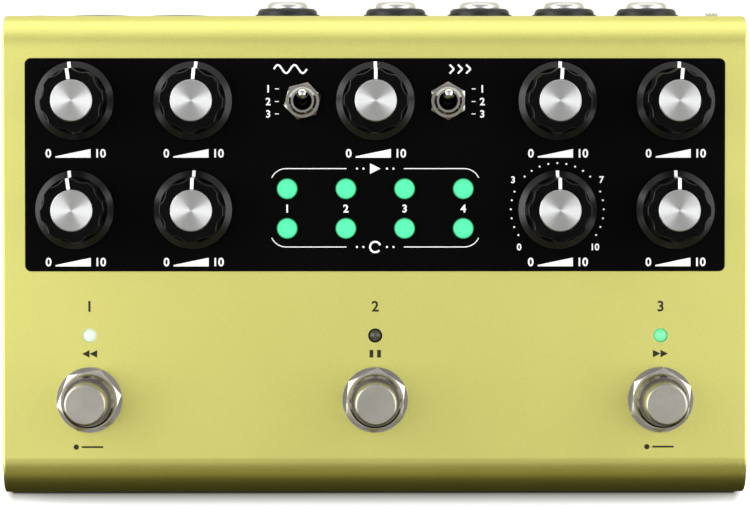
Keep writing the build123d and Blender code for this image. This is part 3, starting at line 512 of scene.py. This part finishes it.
def jack_finish():
    """Black moulded jack whose threaded tip, past the rear wall, is bright plated metal."""
    finish, tree, shader = start_finish("jack_finish", {"Specular IOR Level": 0.4})
    grain = place(tree, GRAIN, {"Grains per metre": 3200.0, "Clouds per metre": 150.0})
    rear_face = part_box("casing")[1].y
    plated = reckon(tree, "GREATER_THAN", position(tree)["Y"], rear_face)
    black = tint(tree, grain["Cloud"], (0.3, (0.008, 0.008, 0.009)), (0.7, (0.016, 0.016, 0.017)))
    bright = tint(tree, grain["Cloud"], (0.3, (0.66, 0.65, 0.63)), (0.7, (0.78, 0.77, 0.75)))
    tree.links.new(over(tree, plated, black, bright), shader.inputs["Base Color"])
    tree.links.new(plated, shader.inputs["Metallic"])
    tree.links.new(spread(tree, grain["Cloud"], low=0.16, high=0.34), shader.inputs["Roughness"])
    roughen(tree, shader, grain["Grain"], strength=0.08, distance=0.01 * MM)
    return finish


def lit_button_plastic():
    """Milky green button, brightest over the lamp under its middle."""
    values = {"Base Color": (0.03, 0.22, 0.11, 1.0), "Emission Strength": 1.0, "IOR": 1.46}
    finish, tree, shader = start_finish("lit_button_plastic", values)
    reach = place(tree, MIDDLE_DISTANCE, {"Stretch": 1.0})["Distance"]
    stops = (
        (0.0, (0.068, 0.78, 0.37)),
        (0.3, (0.055, 0.7, 0.31)),
        (0.35, (0.042, 0.57, 0.24)),
        (0.385, (0.006, 0.11, 0.04)),
    )
    tree.links.new(tint(tree, reach, *stops), shader.inputs["Emission Color"])
    grain = place(tree, GRAIN, {"Grains per metre": 2600.0, "Clouds per metre": 400.0})
    tree.links.new(spread(tree, grain["Cloud"], low=0.25, high=0.45), shader.inputs["Roughness"])
    roughen(tree, shader, grain["Grain"], strength=0.05, distance=0.01 * MM)
    return finish


def lit_lens():
    """Lit green lamp lens, the left lamp driven harder than the right one."""
    values = {"Base Color": (0.1, 0.4, 0.18, 1.0), "Emission Strength": 1.0, "IOR": 1.5}
    finish, tree, shader = start_finish("lit_lens", values)
    low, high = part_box("lit_leds")
    radius = (high.y - low.y) / 2
    where = position(tree)
    aside = reckon(tree, "SUBTRACT", reckon(tree, "ABSOLUTE", where["X"], 0), high.x - radius)
    along = reckon(tree, "SUBTRACT", where["Y"], low.y + radius)
    reach = reckon(tree, "DIVIDE", diagonal(tree, aside, along), radius)
    strong_stops = (
        (0.0, (0.76, 0.5, 0.71)),
        (0.5, (0.74, 0.5, 0.66)),
        (0.8, (0.54, 0.5, 0.44)),
        (1.0, (0.28, 0.26, 0.1)),
    )
    weak_stops = (
        (0.0, (0.11, 0.5, 0.26)),
        (0.7, (0.09, 0.46, 0.23)),
        (1.0, (0.02, 0.22, 0.09)),
    )
    strong = tint(tree, reach, *strong_stops)
    weak = tint(tree, reach, *weak_stops)
    right = reckon(tree, "GREATER_THAN", where["X"], 0.0)
    tree.links.new(over(tree, right, strong, weak), shader.inputs["Emission Color"])
    grain = place(tree, GRAIN, {"Grains per metre": 2600.0, "Clouds per metre": 700.0})
    tree.links.new(spread(tree, grain["Cloud"], low=0.08, high=0.2), shader.inputs["Roughness"])
    return finish


def dark_lens():
    """Unlit lamp lens: smoky, with the die cup showing as a paler core."""
    finish, tree, shader = start_finish("dark_lens", {"IOR": 1.5})
    reach = place(tree, MIDDLE_DISTANCE, {"Stretch": 1.0})["Distance"]
    smoke = tint(tree, reach, (0.0, (0.062, 0.06, 0.046)), (0.4, (0.028, 0.026, 0.017)))
    tree.links.new(smoke, shader.inputs["Base Color"])
    grain = place(tree, GRAIN, {"Grains per metre": 2600.0, "Clouds per metre": 700.0})
    tree.links.new(spread(tree, grain["Cloud"], low=0.1, high=0.25), shader.inputs["Roughness"])
    return finish


def board_lacquer():
    """Green solder mask over copper tracks."""
    finish, tree, shader = start_finish("board_lacquer", {"IOR": 1.5})
    layout = {
        "Scale": 260.0,
        "Mortar Size": 0.06,
        "Color1": (0.008, 0.10, 0.04, 1.0),
        "Color2": (0.01, 0.12, 0.05, 1.0),
        "Mortar": (0.03, 0.2, 0.08, 1.0),
    }
    tracks = add(tree, "ShaderNodeTexBrick", layout)
    tree.links.new(add(tree, "ShaderNodeTexCoord").outputs["Object"], tracks.inputs["Vector"])
    tree.links.new(tracks.outputs["Color"], shader.inputs["Base Color"])
    grain = place(tree, GRAIN, {"Grains per metre": 4000.0, "Clouds per metre": 90.0})
    tree.links.new(spread(tree, grain["Cloud"], low=0.25, high=0.45), shader.inputs["Roughness"])
    roughen(tree, shader, tracks.outputs["Fac"], strength=0.2, distance=0.03 * MM)
    return finish


# Metals: their colours where dull, clean and rubbed, the limits of their roughness, and scratches per metre
METALS = {
    "bright_nickel": ((0.62, 0.59, 0.54), (0.72, 0.69, 0.64), (0.88, 0.86, 0.82), (0.06, 0.16), 7000.0),
    "toggle_nickel": ((0.42, 0.395, 0.355), (0.5, 0.475, 0.43), (0.86, 0.83, 0.78), (0.1, 0.22), 7000.0),
    "plunger_steel": ((0.45, 0.43, 0.385), (0.53, 0.51, 0.46), (0.74, 0.72, 0.68), (0.26, 0.4), 7000.0),
    "switch_plating": ((0.46, 0.45, 0.43), (0.60, 0.59, 0.57), (0.78, 0.77, 0.75), (0.16, 0.32), 7000.0),
    "plate_aluminium": ((0.48, 0.49, 0.50), (0.58, 0.59, 0.60), (0.7, 0.7, 0.71), (0.34, 0.5), 2500.0),
    "screw_zinc": ((0.38, 0.38, 0.39), (0.5, 0.5, 0.5), (0.68, 0.68, 0.68), (0.2, 0.36), 7000.0),
    "nut_nickel": ((0.66, 0.63, 0.58), (0.76, 0.73, 0.68), (0.9, 0.88, 0.84), (0.24, 0.38), 7000.0),
    "bushing_plating": ((0.17, 0.155, 0.13), (0.26, 0.24, 0.205), (0.85, 0.83, 0.78), (0.14, 0.28), 7000.0),
    "washer_plating": ((0.36, 0.34, 0.31), (0.46, 0.44, 0.4), (0.66, 0.64, 0.6), (0.14, 0.26), 7000.0),
    "thread_steel": ((0.12, 0.105, 0.08), (0.18, 0.16, 0.125), (0.34, 0.31, 0.26), (0.16, 0.3), 7000.0),
    "port_tin": ((0.52, 0.52, 0.52), (0.66, 0.66, 0.65), (0.8, 0.8, 0.79), (0.18, 0.34), 7000.0),
    "can_aluminium": ((0.55, 0.55, 0.57), (0.66, 0.66, 0.68), (0.8, 0.8, 0.8), (0.25, 0.4), 7000.0),
}

# Plastics and rubber: their colours where dark and light, and the limits of their roughness
PLASTICS = {
    "socket_plastic": ((0.008, 0.008, 0.009), (0.016, 0.016, 0.017), (0.28, 0.46)),
    "slider_plastic": ((0.34, 0.34, 0.33), (0.45, 0.45, 0.44), (0.3, 0.5)),
    "foot_rubber": ((0.012, 0.012, 0.012), (0.022, 0.022, 0.022), (0.65, 0.85)),
    "chip_plastic": ((0.014, 0.014, 0.015), (0.024, 0.024, 0.025), (0.45, 0.65)),
}

metals = {name: bright_metal(name, *looks) for name, looks in METALS.items()}
plastics = {name: moulded_plastic(name, *looks) for name, looks in PLASTICS.items()}
GOLD = gold_anodising()
KNOB_PLASTIC = knob_plastic()
SPUN_ALUMINIUM = spun_aluminium()
LIT_BUTTON = lit_button_plastic()
WHITE_INK = ink("white_ink", (0.78, 0.78, 0.77), (0.90, 0.90, 0.89))
DARK_INK = ink("dark_ink", (0.030, 0.026, 0.008), (0.014, 0.012, 0.004))

node_finishes = {
    "casing": GOLD,
    "rear_panel": GOLD,
    "bottom_plate": metals["plate_aluminium"],
    "bottom_screws": metals["screw_zinc"],
    "feet": plastics["foot_rubber"],
    "control_panel": panel_lacquer(),
    "potentiometers": metals["switch_plating"],
    "potentiometer_nuts": metals["bright_nickel"],
    "toggle_bodies": metals["toggle_nickel"],
    "toggle_nuts": metals["toggle_nickel"],
    "button_switches": plastics["socket_plastic"],
    "footswitch_bodies": metals["bushing_plating"],
    "footswitch_springs": metals["screw_zinc"],
    "footswitch_washers": metals["washer_plating"],
    "footswitch_nuts": metals["nut_nickel"],
    "lit_leds": lit_lens(),
    "unlit_led": dark_lens(),
    "jack_sockets": jack_finish(),
    "jack_washers": plastics["socket_plastic"],
    "jack_nuts": plastics["socket_plastic"],
    "data_sockets": plastics["socket_plastic"],
    "data_socket_cores": plastics["socket_plastic"],
    "power_socket": plastics["socket_plastic"],
    "usb_socket": metals["port_tin"],
    "level_switch_body": plastics["socket_plastic"],
    "level_switch_slider": plastics["slider_plastic"],
    "main_board": board_lacquer(),
    "board_chips": plastics["chip_plastic"],
    "board_capacitors": metals["can_aluminium"],
}
family_finishes = {
    "knob_cap_": SPUN_ALUMINIUM,
    "knob_": KNOB_PLASTIC,
    "button_": LIT_BUTTON,
    "footswitch_plunger_": metals["plunger_steel"],
    "toggle_lever_": lever_chrome(),
}


def dress_packed_pieces():
    """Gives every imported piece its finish."""
    for name, piece in frame["nodes"].items():
        families = [finish for start, finish in family_finishes.items() if name.startswith(start)]
        finish = node_finishes[name] if name in node_finishes else families[0]
        piece.data.materials.clear()
        piece.data.materials.append(finish)


# Shapes


def link_shape(name, shape, finish):
    """Turns a shape into an object of the scene with one finish."""
    mesh = bpy.data.meshes.new(name)
    shape.to_mesh(mesh)
    shape.free()
    mesh.materials.append(finish)
    made = bpy.data.objects.new(name, mesh)
    bpy.context.scene.collection.objects.link(made)
    return made


def add_piece(name, shape, finish, body, smooth=False):
    """Turns a shape into a piece of the box that rides on one of its bodies."""
    bmesh.ops.recalc_face_normals(shape, faces=shape.faces)
    piece = link_shape(name, shape, finish)
    for face in piece.data.polygons:
        face.use_smooth = smooth
    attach(piece, body)


def join_rings(shape, near, far):
    """Adds the faces between two rings of as many corners."""
    for side in range(len(near)):
        after = (side + 1) % len(near)
        shape.faces.new((near[side], near[after], far[after], far[side]))


def slab(shape, outline, bottom, top):
    """Adds an upright prism on a flat outline."""
    lower = [shape.verts.new((x, y, bottom)) for x, y in outline]
    upper = [shape.verts.new((x, y, top)) for x, y in outline]
    shape.faces.new(lower[::-1])
    shape.faces.new(upper)
    join_rings(shape, lower, upper)


def disc(x, y, radius):
    """Outline of a round dot."""
    turns = [tau * step / DOT_SIDES for step in range(DOT_SIDES)]
    return [(x + radius * cos(turn), y + radius * sin(turn)) for turn in turns]


def bar(x, y, width, height):
    """Outline of an upright rectangle."""
    across, up = width / 2, height / 2
    return [(x - across, y - up), (x + across, y - up), (x + across, y + up), (x - across, y + up)]


def arrow(x, y, size, direction):
    """Outline of a triangle that points along X."""
    tip, base = x + direction * size / 2, x - direction * size / 2
    corners = [(base, y - size / 2), (tip, y), (base, y + size / 2)]
    return corners if direction > 0 else corners[::-1]


def stroke(points, width):
    """Outline of a line of even width through points."""
    left, right = [], []
    for step, point in enumerate(points):
        before = Vector(points[max(step - 1, 0)])
        after = Vector(points[min(step + 1, len(points) - 1)])
        along = (after - before).normalized()
        aside = Vector((-along.y, along.x)) * width / 2
        left.append(tuple(Vector(point) + aside))
        right.append(tuple(Vector(point) - aside))
    return right + left[::-1]


def arc(x, y, across, up, start, end, steps=ARC_STEPS):
    """Points on an ellipse between two angles in degrees."""
    turns = [radians(start + (end - start) * step / steps) for step in range(steps + 1)]
    return [(x + across * cos(turn), y + up * sin(turn)) for turn in turns]


def numerals(shape, text, x, y, height, surface):
    """Adds printed numbers, centred on a place, of a given height."""
    curve = bpy.data.curves.new("numerals", "FONT")
    curve.body = text
    curve.extrude = 1.0
    curve.offset = NUMERAL_WEIGHT
    curve.resolution_u = NUMERAL_CURVE_STEPS
    written = bpy.data.objects.new("numerals", curve)
    bpy.context.scene.collection.objects.link(written)
    shown = written.evaluated_get(bpy.context.evaluated_depsgraph_get())
    mesh = bpy.data.meshes.new_from_object(shown)
    low = Vector([min(vertex.co[axis] for vertex in mesh.vertices) for axis in range(3)])
    high = Vector([max(vertex.co[axis] for vertex in mesh.vertices) for axis in range(3)])
    size = height / (high.y - low.y)
    thickness = (INK_PROUD + INK_SUNK) / (high.z - low.z)
    to_place = Matrix.Translation((x, y, surface + (INK_PROUD - INK_SUNK) / 2))
    to_place @= Matrix.Diagonal((size, size, thickness, 1.0)) @ Matrix.Translation(-(low + high) / 2)
    mesh.transform(to_place)
    shape.from_mesh(mesh)
    bpy.data.objects.remove(written)
    bpy.data.curves.remove(curve)
    bpy.data.meshes.remove(mesh)


def print_piece(name, outlines, words, surface, finish):
    """A printed layer: flat outlines and numbers, keyed into the surface that carries them."""
    shape = bmesh.new()
    for outline in outlines:
        slab(shape, outline, surface - INK_SUNK, surface + INK_PROUD)
    for text, x, y, height in words:
        numerals(shape, text, x, y, height, surface)
    bmesh.ops.remove_doubles(shape, verts=shape.verts, dist=INK_WELD)
    add_piece(name, shape, finish, "case")


def print_knob_scales():
    """Under each knob a wedge that grows from 0 to 10."""
    outlines, words = [], []
    for number in KNOB_NUMBERS:
        spot = middle(f"knob_{number}")
        y = spot.y - SCALE_DROP
        foot = y - SCALE_HEIGHT / 2
        wedge = [
            (spot.x + SCALE_WEDGE_START, foot),
            (spot.x + SCALE_WEDGE_END, foot),
            (spot.x + SCALE_WEDGE_END, foot + SCALE_HEIGHT),
            (spot.x + SCALE_WEDGE_START, foot + SCALE_WEDGE_THIN),
        ]
        outlines.append(wedge)
        words.append(("0", spot.x + SCALE_LOW_END, y, SCALE_HEIGHT))
        words.append(("10", spot.x + SCALE_HIGH_END, y, SCALE_HEIGHT))
    print_piece("knob_scale_print", outlines, words, panel_top, WHITE_INK)


def print_button_block():
    """Numbers between the two rows of buttons, and a bracket round each row with its symbol."""
    rear_row, front_row = middle("button_1").y, middle("button_5").y
    between_rows = (rear_row + front_row) / 2
    outlines, words = [], []
    for number in BUTTON_NUMBERS:
        words.append((str(number), middle(f"button_{number}").x, between_rows, BUTTON_NUMBER_HEIGHT))
    for row, away in ((rear_row, 1), (front_row, -1)):
        line = row + away * BRACKET_FROM_ROW + BRACKET_SHIFT
        for side in (-1, 1):
            across, up = side * BRACKET_END_RADIUS, away * BRACKET_END_RADIUS
            bend = arc(side * BRACKET_HALF_WIDTH, line - up, across, up, *BRACKET_END_DEGREES)
            path = bend + [(side * BRACKET_GAP_HALF, line)]
            outlines.append(stroke(path, LINE_WIDTH))
            for step in (1, 2):
                dot_x = side * (BRACKET_SYMBOL_SIZE / 2 + step * BRACKET_DOT_PITCH)
                outlines.append(disc(dot_x, line, BRACKET_DOT_RADIUS))
    outlines.append(arrow(0, rear_row + BRACKET_FROM_ROW + BRACKET_SHIFT, BRACKET_SYMBOL_SIZE, 1))
    line = front_row - BRACKET_FROM_ROW + BRACKET_SHIFT
    radius = BRACKET_SYMBOL_SIZE / 2
    loop = arc(0, line, radius, radius, *LOOP_SYMBOL_DEGREES, LOOP_SYMBOL_STEPS)
    outlines.append(stroke(loop, SYMBOL_LINE_WIDTH))
    print_piece("button_block_print", outlines, words, panel_top, WHITE_INK)


def beside_dial(step, radius):
    """Place in the ring round the dial knob, counted in steps from its rear."""
    spot = middle(f"knob_{DIAL_KNOB}")
    turn = radians(step * DIAL_STEP_DEGREES)
    return spot.x + radius * sin(turn), spot.y + radius * cos(turn)


def print_dial_dots():
    """Ring of dots round one knob, with a few numbers in the ring."""
    outlines, words = [], []
    for step in range(-DIAL_LAST_STEP, DIAL_LAST_STEP + 1):
        if step not in DIAL_NUMBER_STEPS:
            outlines.append(disc(*beside_dial(step, DIAL_RADIUS), DIAL_DOT_RADIUS))
    for step, text in DIAL_NUMBER_STEPS.items():
        words.append((text, *beside_dial(step, DIAL_NUMBER_RADIUS), DIAL_NUMBER_HEIGHT))
    print_piece("dial_print", outlines, words, panel_top, WHITE_INK)


def print_toggle_marks():
    """A symbol over each toggle, and the numbers of its three positions beside it."""
    outlines, words = [], []
    for name, side in (("left", -1), ("right", 1)):
        x, y = middle(f"toggle_lever_{name}").x, middle("toggle_nuts").y
        heading_x = x + side * TOGGLE_HEADING_ACROSS
        heading_y = y + TOGGLE_HEADING_UP
        if side < 0:
            wave = []
            for step in range(WAVE_STEPS + 1):
                share = step / WAVE_STEPS
                rise = WAVE_RISE * sin(WAVE_CRESTS * tau * share)
                wave.append((heading_x + WAVE_LENGTH * (share - 0.5), heading_y + rise))
            outlines.append(stroke(wave, SYMBOL_LINE_WIDTH))
        else:
            for step in (-1, 0, 1):
                tip = heading_x + step * CHEVRON_PITCH + CHEVRON_SIZE / 2
                for up in (-1, 1):
                    corner = (tip - CHEVRON_SIZE, heading_y + up * CHEVRON_SIZE)
                    outlines.append(stroke([corner, (tip, heading_y)], SYMBOL_LINE_WIDTH))
        for number, row in enumerate(TOGGLE_NUMBER_ROWS, start=1):
            words.append((str(number), x + side * TOGGLE_NUMBER_ACROSS, y + row, TOGGLE_NUMBER_HEIGHT))
            outlines.append(bar(x + side * TOGGLE_TICK_ACROSS, y + row, TOGGLE_TICK_LENGTH, LINE_WIDTH))
    print_piece("toggle_print", outlines, words, panel_top, WHITE_INK)


def print_tread_marks():
    """Dark numbers and symbols on the gold tread round the foot switches."""
    outlines, words = [], []
    row = middle("unlit_led").y
    for number, side in enumerate(SIDES, start=1):
        x = middle(f"footswitch_plunger_{side}").x
        words.append((str(number), x, row + TREAD_NUMBER_UP, TREAD_NUMBER_HEIGHT))
        y = row - TREAD_SYMBOL_DROP
        half = TREAD_SYMBOL_SIZE / 2
        if side == "middle":
            outlines += [bar(x + step * half, y, half, TREAD_SYMBOL_SIZE) for step in (-1, 1)]
        else:
            direction = -1 if side == "left" else 1
            outlines += [arrow(x + step * half, y, TREAD_SYMBOL_SIZE, direction) for step in (-1, 1)]
            y = row - HOLD_MARK_DROP
            length = HOLD_MARK_LENGTH - 2 * HOLD_MARK_RADIUS
            outlines.append(disc(x - HOLD_MARK_LENGTH / 2, y, HOLD_MARK_RADIUS))
            outlines.append(bar(x + HOLD_MARK_RADIUS, y, length, SYMBOL_LINE_WIDTH))
    print_piece("tread_print", outlines, words, case_top, DARK_INK)


def pointer_profile(top):
    """Radius and height along a knob's surface, from beside its cap to its rim."""
    bottom = top - KNOB_HEIGHT
    cap_low, cap_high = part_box("knob_cap_1")
    start = (cap_high.x - cap_low.x) / 2 + POINTER_CAP_GAP
    corner = GRIP_TOP_RADIUS - GRIP_EDGE
    edge = arc(corner, top - GRIP_EDGE, GRIP_EDGE, GRIP_EDGE, 90, 0, POINTER_EDGE_STEPS)
    rim_top = bottom + SKIRT_RIM
    foot = [
        (GRIP_BASE_RADIUS, bottom + SKIRT_HEIGHT),
        (SKIRT_RADIUS, rim_top),
        (SKIRT_RADIUS, rim_top - POINTER_RIM_REACH),
    ]
    return [(start, top)] + edge + foot


def add_pointer(number):
    """White line from a knob's cap over its top edge, down its side and across its skirt."""
    low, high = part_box(f"knob_{number}")
    limits = [joint["range_deg"] for joint in frame["joints"] if joint["child"] == f"knob_{number}"]
    turn = -sum(limits[0]) / 2
    profile = [Vector(point) for point in pointer_profile(high.z)]
    rings = []
    shape = bmesh.new()
    for step, point in enumerate(profile):
        along = profile[min(step + 1, len(profile) - 1)] - profile[max(step - 1, 0)]
        out = Vector((-along.y, along.x)).normalized()
        ring = []
        for depth, sides in ((POINTER_PROUD, (-1, 1)), (-POINTER_SUNK, (1, -1))):
            spot = point + out * depth
            ring += [shape.verts.new((side * POINTER_WIDTH / 2, spot.x, spot.y)) for side in sides]
        rings.append(ring)
    for near, far in zip(rings, rings[1:]):
        join_rings(shape, near, far)
    shape.faces.new(rings[0][::-1])
    shape.faces.new(rings[-1])
    spot = (low + high) / 2
    turned = Matrix.Translation((spot.x, spot.y, 0)) @ Matrix.Rotation(radians(turn), 4, "Z")
    bmesh.ops.transform(shape, matrix=turned, verts=shape.verts)
    add_piece(f"pointer_{number}", shape, WHITE_INK, f"knob_{number}")


def cut_thread(shape, to_place, radius, length, pitch):
    """Adds a threaded sleeve in its place, its crests a share of the pitch high."""
    rows = ceil(length / pitch * THREAD_STEPS_PER_TURN)
    turns = [tau * side / THREAD_SIDES for side in range(THREAD_SIDES)]
    rings = []
    for row in range(rows + 1):
        z = length * row / rows
        run_out = min(1.0, z / pitch, (length - z) / pitch)
        ring = []
        for side, turn in enumerate(turns):
            phase = (z / pitch - side / THREAD_SIDES) % 1.0
            crest = (1.0 - abs(2.0 * phase - 1.0)) * run_out
            reach = radius + THREAD_DEPTH_SHARE * pitch * crest
            ring.append(shape.verts.new(to_place @ Vector((reach * cos(turn), reach * sin(turn), z))))
        rings.append(ring)
    for z in (length, 0.0):
        reach = radius - THREAD_WALL
        spots = [to_place @ Vector((reach * cos(turn), reach * sin(turn), z)) for turn in turns]
        rings.append([shape.verts.new(spot) for spot in spots])
    for near, far in zip(rings, rings[1:] + rings[:1]):
        join_rings(shape, near, far)


def add_footswitch_threads():
    """Thread on each foot switch bushing, from its nut to its chamfered mouth."""
    shape = bmesh.new()
    nut_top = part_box("footswitch_nuts")[1].z
    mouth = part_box("footswitch_bodies")[1].z - FOOTSWITCH_BUSHING_EDGE
    for side in SIDES:
        spot = middle(f"footswitch_plunger_{side}")
        foot = Matrix.Translation((spot.x, spot.y, nut_top))
        cut_thread(shape, foot, FOOTSWITCH_THREAD_RADIUS, mouth - nut_top, FOOTSWITCH_THREAD_PITCH)
    add_piece("footswitch_threads", shape, metals["thread_steel"], "case", smooth=True)


def add_toggle_threads():
    """Thread on each toggle bushing, from its nut to its chamfered mouth."""
    shape = bmesh.new()
    nut_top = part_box("toggle_nuts")[1].z
    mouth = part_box("toggle_bodies")[1].z - TOGGLE_BUSHING_EDGE
    for side in ("left", "right"):
        foot = Matrix.Translation((middle(f"toggle_lever_{side}").x, middle("toggle_nuts").y, nut_top))
        cut_thread(shape, foot, TOGGLE_THREAD_RADIUS, mouth - nut_top, TOGGLE_THREAD_PITCH)
    add_piece("toggle_threads", shape, metals["toggle_nickel"], "case", smooth=True)


# Stage


def aim(thing, at):
    """Turns a lamp to look at a point."""
    thing.rotation_euler = (Vector(at) - thing.location).to_track_quat("-Z", "Y").to_euler()


def softbox(name, spot, width, height, brightness):
    """A soft rectangular lamp that looks at the box, given by the brightness of its cloth."""
    lamp = bpy.data.lights.new(name, "AREA")
    lamp.shape = "RECTANGLE"
    lamp.size, lamp.size_y = width, height
    lamp.energy = brightness * pi * width * height
    stand = bpy.data.objects.new(name, lamp)
    bpy.context.scene.collection.objects.link(stand)
    stand.location = spot
    aim(stand, (0, 0, case_top))
    stand.visible_camera = False


STAGE_VALUES = {"Roughness": 0.9, "Specular IOR Level": 0.1, "Emission Strength": 1.0}


def card_cloth(name, glow):
    """Black cloth with a glow of its own."""
    colours = {"Base Color": (0.0, 0.0, 0.0, 1.0), "Emission Color": (*glow, 1.0)}
    return start_finish(name, STAGE_VALUES | colours)[0]


def floor_finish():
    """White paper that glows as if lamps shone through it from behind, with a soft shadow painted along the
    front of the box that darkens its colour and dims its glow.
    """
    finish, tree, shader = start_finish("floor_paper", STAGE_VALUES)
    where = position(tree)
    low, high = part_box("casing")
    beside = reckon(tree, "SUBTRACT", reckon(tree, "ABSOLUTE", where["X"], 0), high.x)
    beside = reckon(tree, "DIVIDE", reckon(tree, "MAXIMUM", beside, 0.0), PAINTED_SHADE_SIDE_REACH)
    ahead = reckon(tree, "DIVIDE", reckon(tree, "SUBTRACT", where["Y"], low.y), PAINTED_SHADE_REACH)
    painted_shade_distance = diagonal(tree, beside, ahead, clamp=True)
    # Painted shadow: beside the case the paper is near black with no glow, and further off it turns plain
    # glowing white
    paper_and_painted_shade_stops = (
        (0.42, (0.012, 0.011, 0.008)),
        (0.5, (0.34, 0.335, 0.31)),
        (0.87, (0.78, 0.78, 0.77)),
        (1.0, (0.86, 0.86, 0.86)),
    )
    glow_and_painted_shade_stops = ((0.5, (0.0, 0.0, 0.0)), (0.75, (0.1, 0.1, 0.1)), (1.0, (0.3, 0.3, 0.3)))
    tree.links.new(tint(tree, painted_shade_distance, *paper_and_painted_shade_stops), shader.inputs["Base Color"])
    tree.links.new(tint(tree, painted_shade_distance, *glow_and_painted_shade_stops), shader.inputs["Emission Color"])
    return finish


def add_floor():
    """Wide pale floor."""
    shape = bmesh.new()
    bmesh.ops.create_circle(shape, cap_ends=True, segments=FLOOR_SIDES, radius=FLOOR_RADIUS)
    floor = link_shape("floor", shape, floor_finish())


def add_card(name, edges, near, far, glow):
    """A card that only reflections see, between two edges and two lines that run along X."""
    shape = bmesh.new()
    rows = [[shape.verts.new((x, y, z)) for x in edges] for y, z in (near, far)]
    shape.faces.new((rows[0][0], rows[0][1], rows[1][1], rows[1][0]))
    card = link_shape(name, shape, card_cloth(name + "_cloth", glow))
    card.visible_camera = False
    card.visible_diffuse = False
    card.visible_shadow = False


def light_stage():
    """Even pale surroundings and a softbox on either side."""
    world = bpy.data.worlds.new("studio")
    world.use_nodes = True
    background = world.node_tree.nodes["Background"]
    background.inputs["Color"].default_value = (1.0, 1.0, 1.0, 1.0)
    background.inputs["Strength"].default_value = STUDIO_BRIGHTNESS
    bpy.context.scene.world = world
    for name, settings in SOFTBOXES.items():
        softbox(name, *settings)


def add_cards():
    """Dark cards in front of the case, dim ones above and behind it, and a bright one far behind."""
    low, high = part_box("casing")
    front, rear = low.y - FRONT_CARD_DISTANCE, high.y + REAR_CARD_DISTANCE
    far_rear = high.y + BRIGHT_CARD_DISTANCE
    front_edges = (FRONT_CARD_REACH * low.x, FRONT_CARD_REACH * high.x)
    rear_edges = (REAR_CARD_REACH * low.x, REAR_CARD_REACH * high.x)
    top_lines = ((TOP_CARD_FRONT, TOP_CARD_HEIGHT), (TOP_CARD_REAR, TOP_CARD_HEIGHT))
    front_floor_lines = ((low.y - CARD_GAP, CARD_GAP), (front, CARD_GAP))
    rear_floor_lines = ((high.y + CARD_GAP, CARD_GAP), (rear, CARD_GAP))
    add_card("front_floor_card", front_edges, *front_floor_lines, FRONT_FLOOR_GLOW)
    for name, (foot, head, glow) in FRONT_CARDS.items():
        add_card(name, front_edges, (front, foot), (front, head), glow)
    add_card("top_card", TOP_CARD_EDGES, *top_lines, TOP_CARD_GLOW)
    add_card("rear_floor_card", rear_edges, *rear_floor_lines, REAR_FLOOR_GLOW)
    for name, (foot, head, glow) in REAR_CARDS.items():
        add_card(name, rear_edges, (rear, foot), (rear, head), glow)
    bright_lines = ((far_rear, 0.0), (far_rear, BRIGHT_CARD_HEAD))
    add_card("rear_bright_card", BRIGHT_CARD_EDGES, *bright_lines, BRIGHT_CARD_GLOW)


def add_camera():
    """Camera above the case that looks down at its middle, the rear edge at the top of the picture."""
    data = bpy.data.cameras.new("camera")
    data.sensor_width = CAMERA_SENSOR
    data.lens = CAMERA_LENS
    camera = bpy.data.objects.new("camera", data)
    bpy.context.scene.collection.objects.link(camera)
    target = Vector((case_middle.x + CAMERA_AIM[0], case_middle.y + CAMERA_AIM[1], case_top))
    spot = target + Vector((CAMERA_ACROSS, CAMERA_BACK, CAMERA_HEIGHT))
    backward = (spot - target).normalized()
    right = Vector((0, 1, 0)).cross(backward).normalized()
    turned = Matrix((right, backward.cross(right), backward)).transposed()
    camera.matrix_world = Matrix.Translation(spot) @ turned.to_4x4()
    bpy.context.scene.camera = camera


dress_packed_pieces()
print_knob_scales()
print_button_block()
print_dial_dots()
print_toggle_marks()
print_tread_marks()
for number in KNOB_NUMBERS:
    add_pointer(number)
add_footswitch_threads()
add_toggle_threads()
add_floor()
light_stage()
add_cards()
add_camera()
bpy.context.scene.view_settings.view_transform = "Standard"
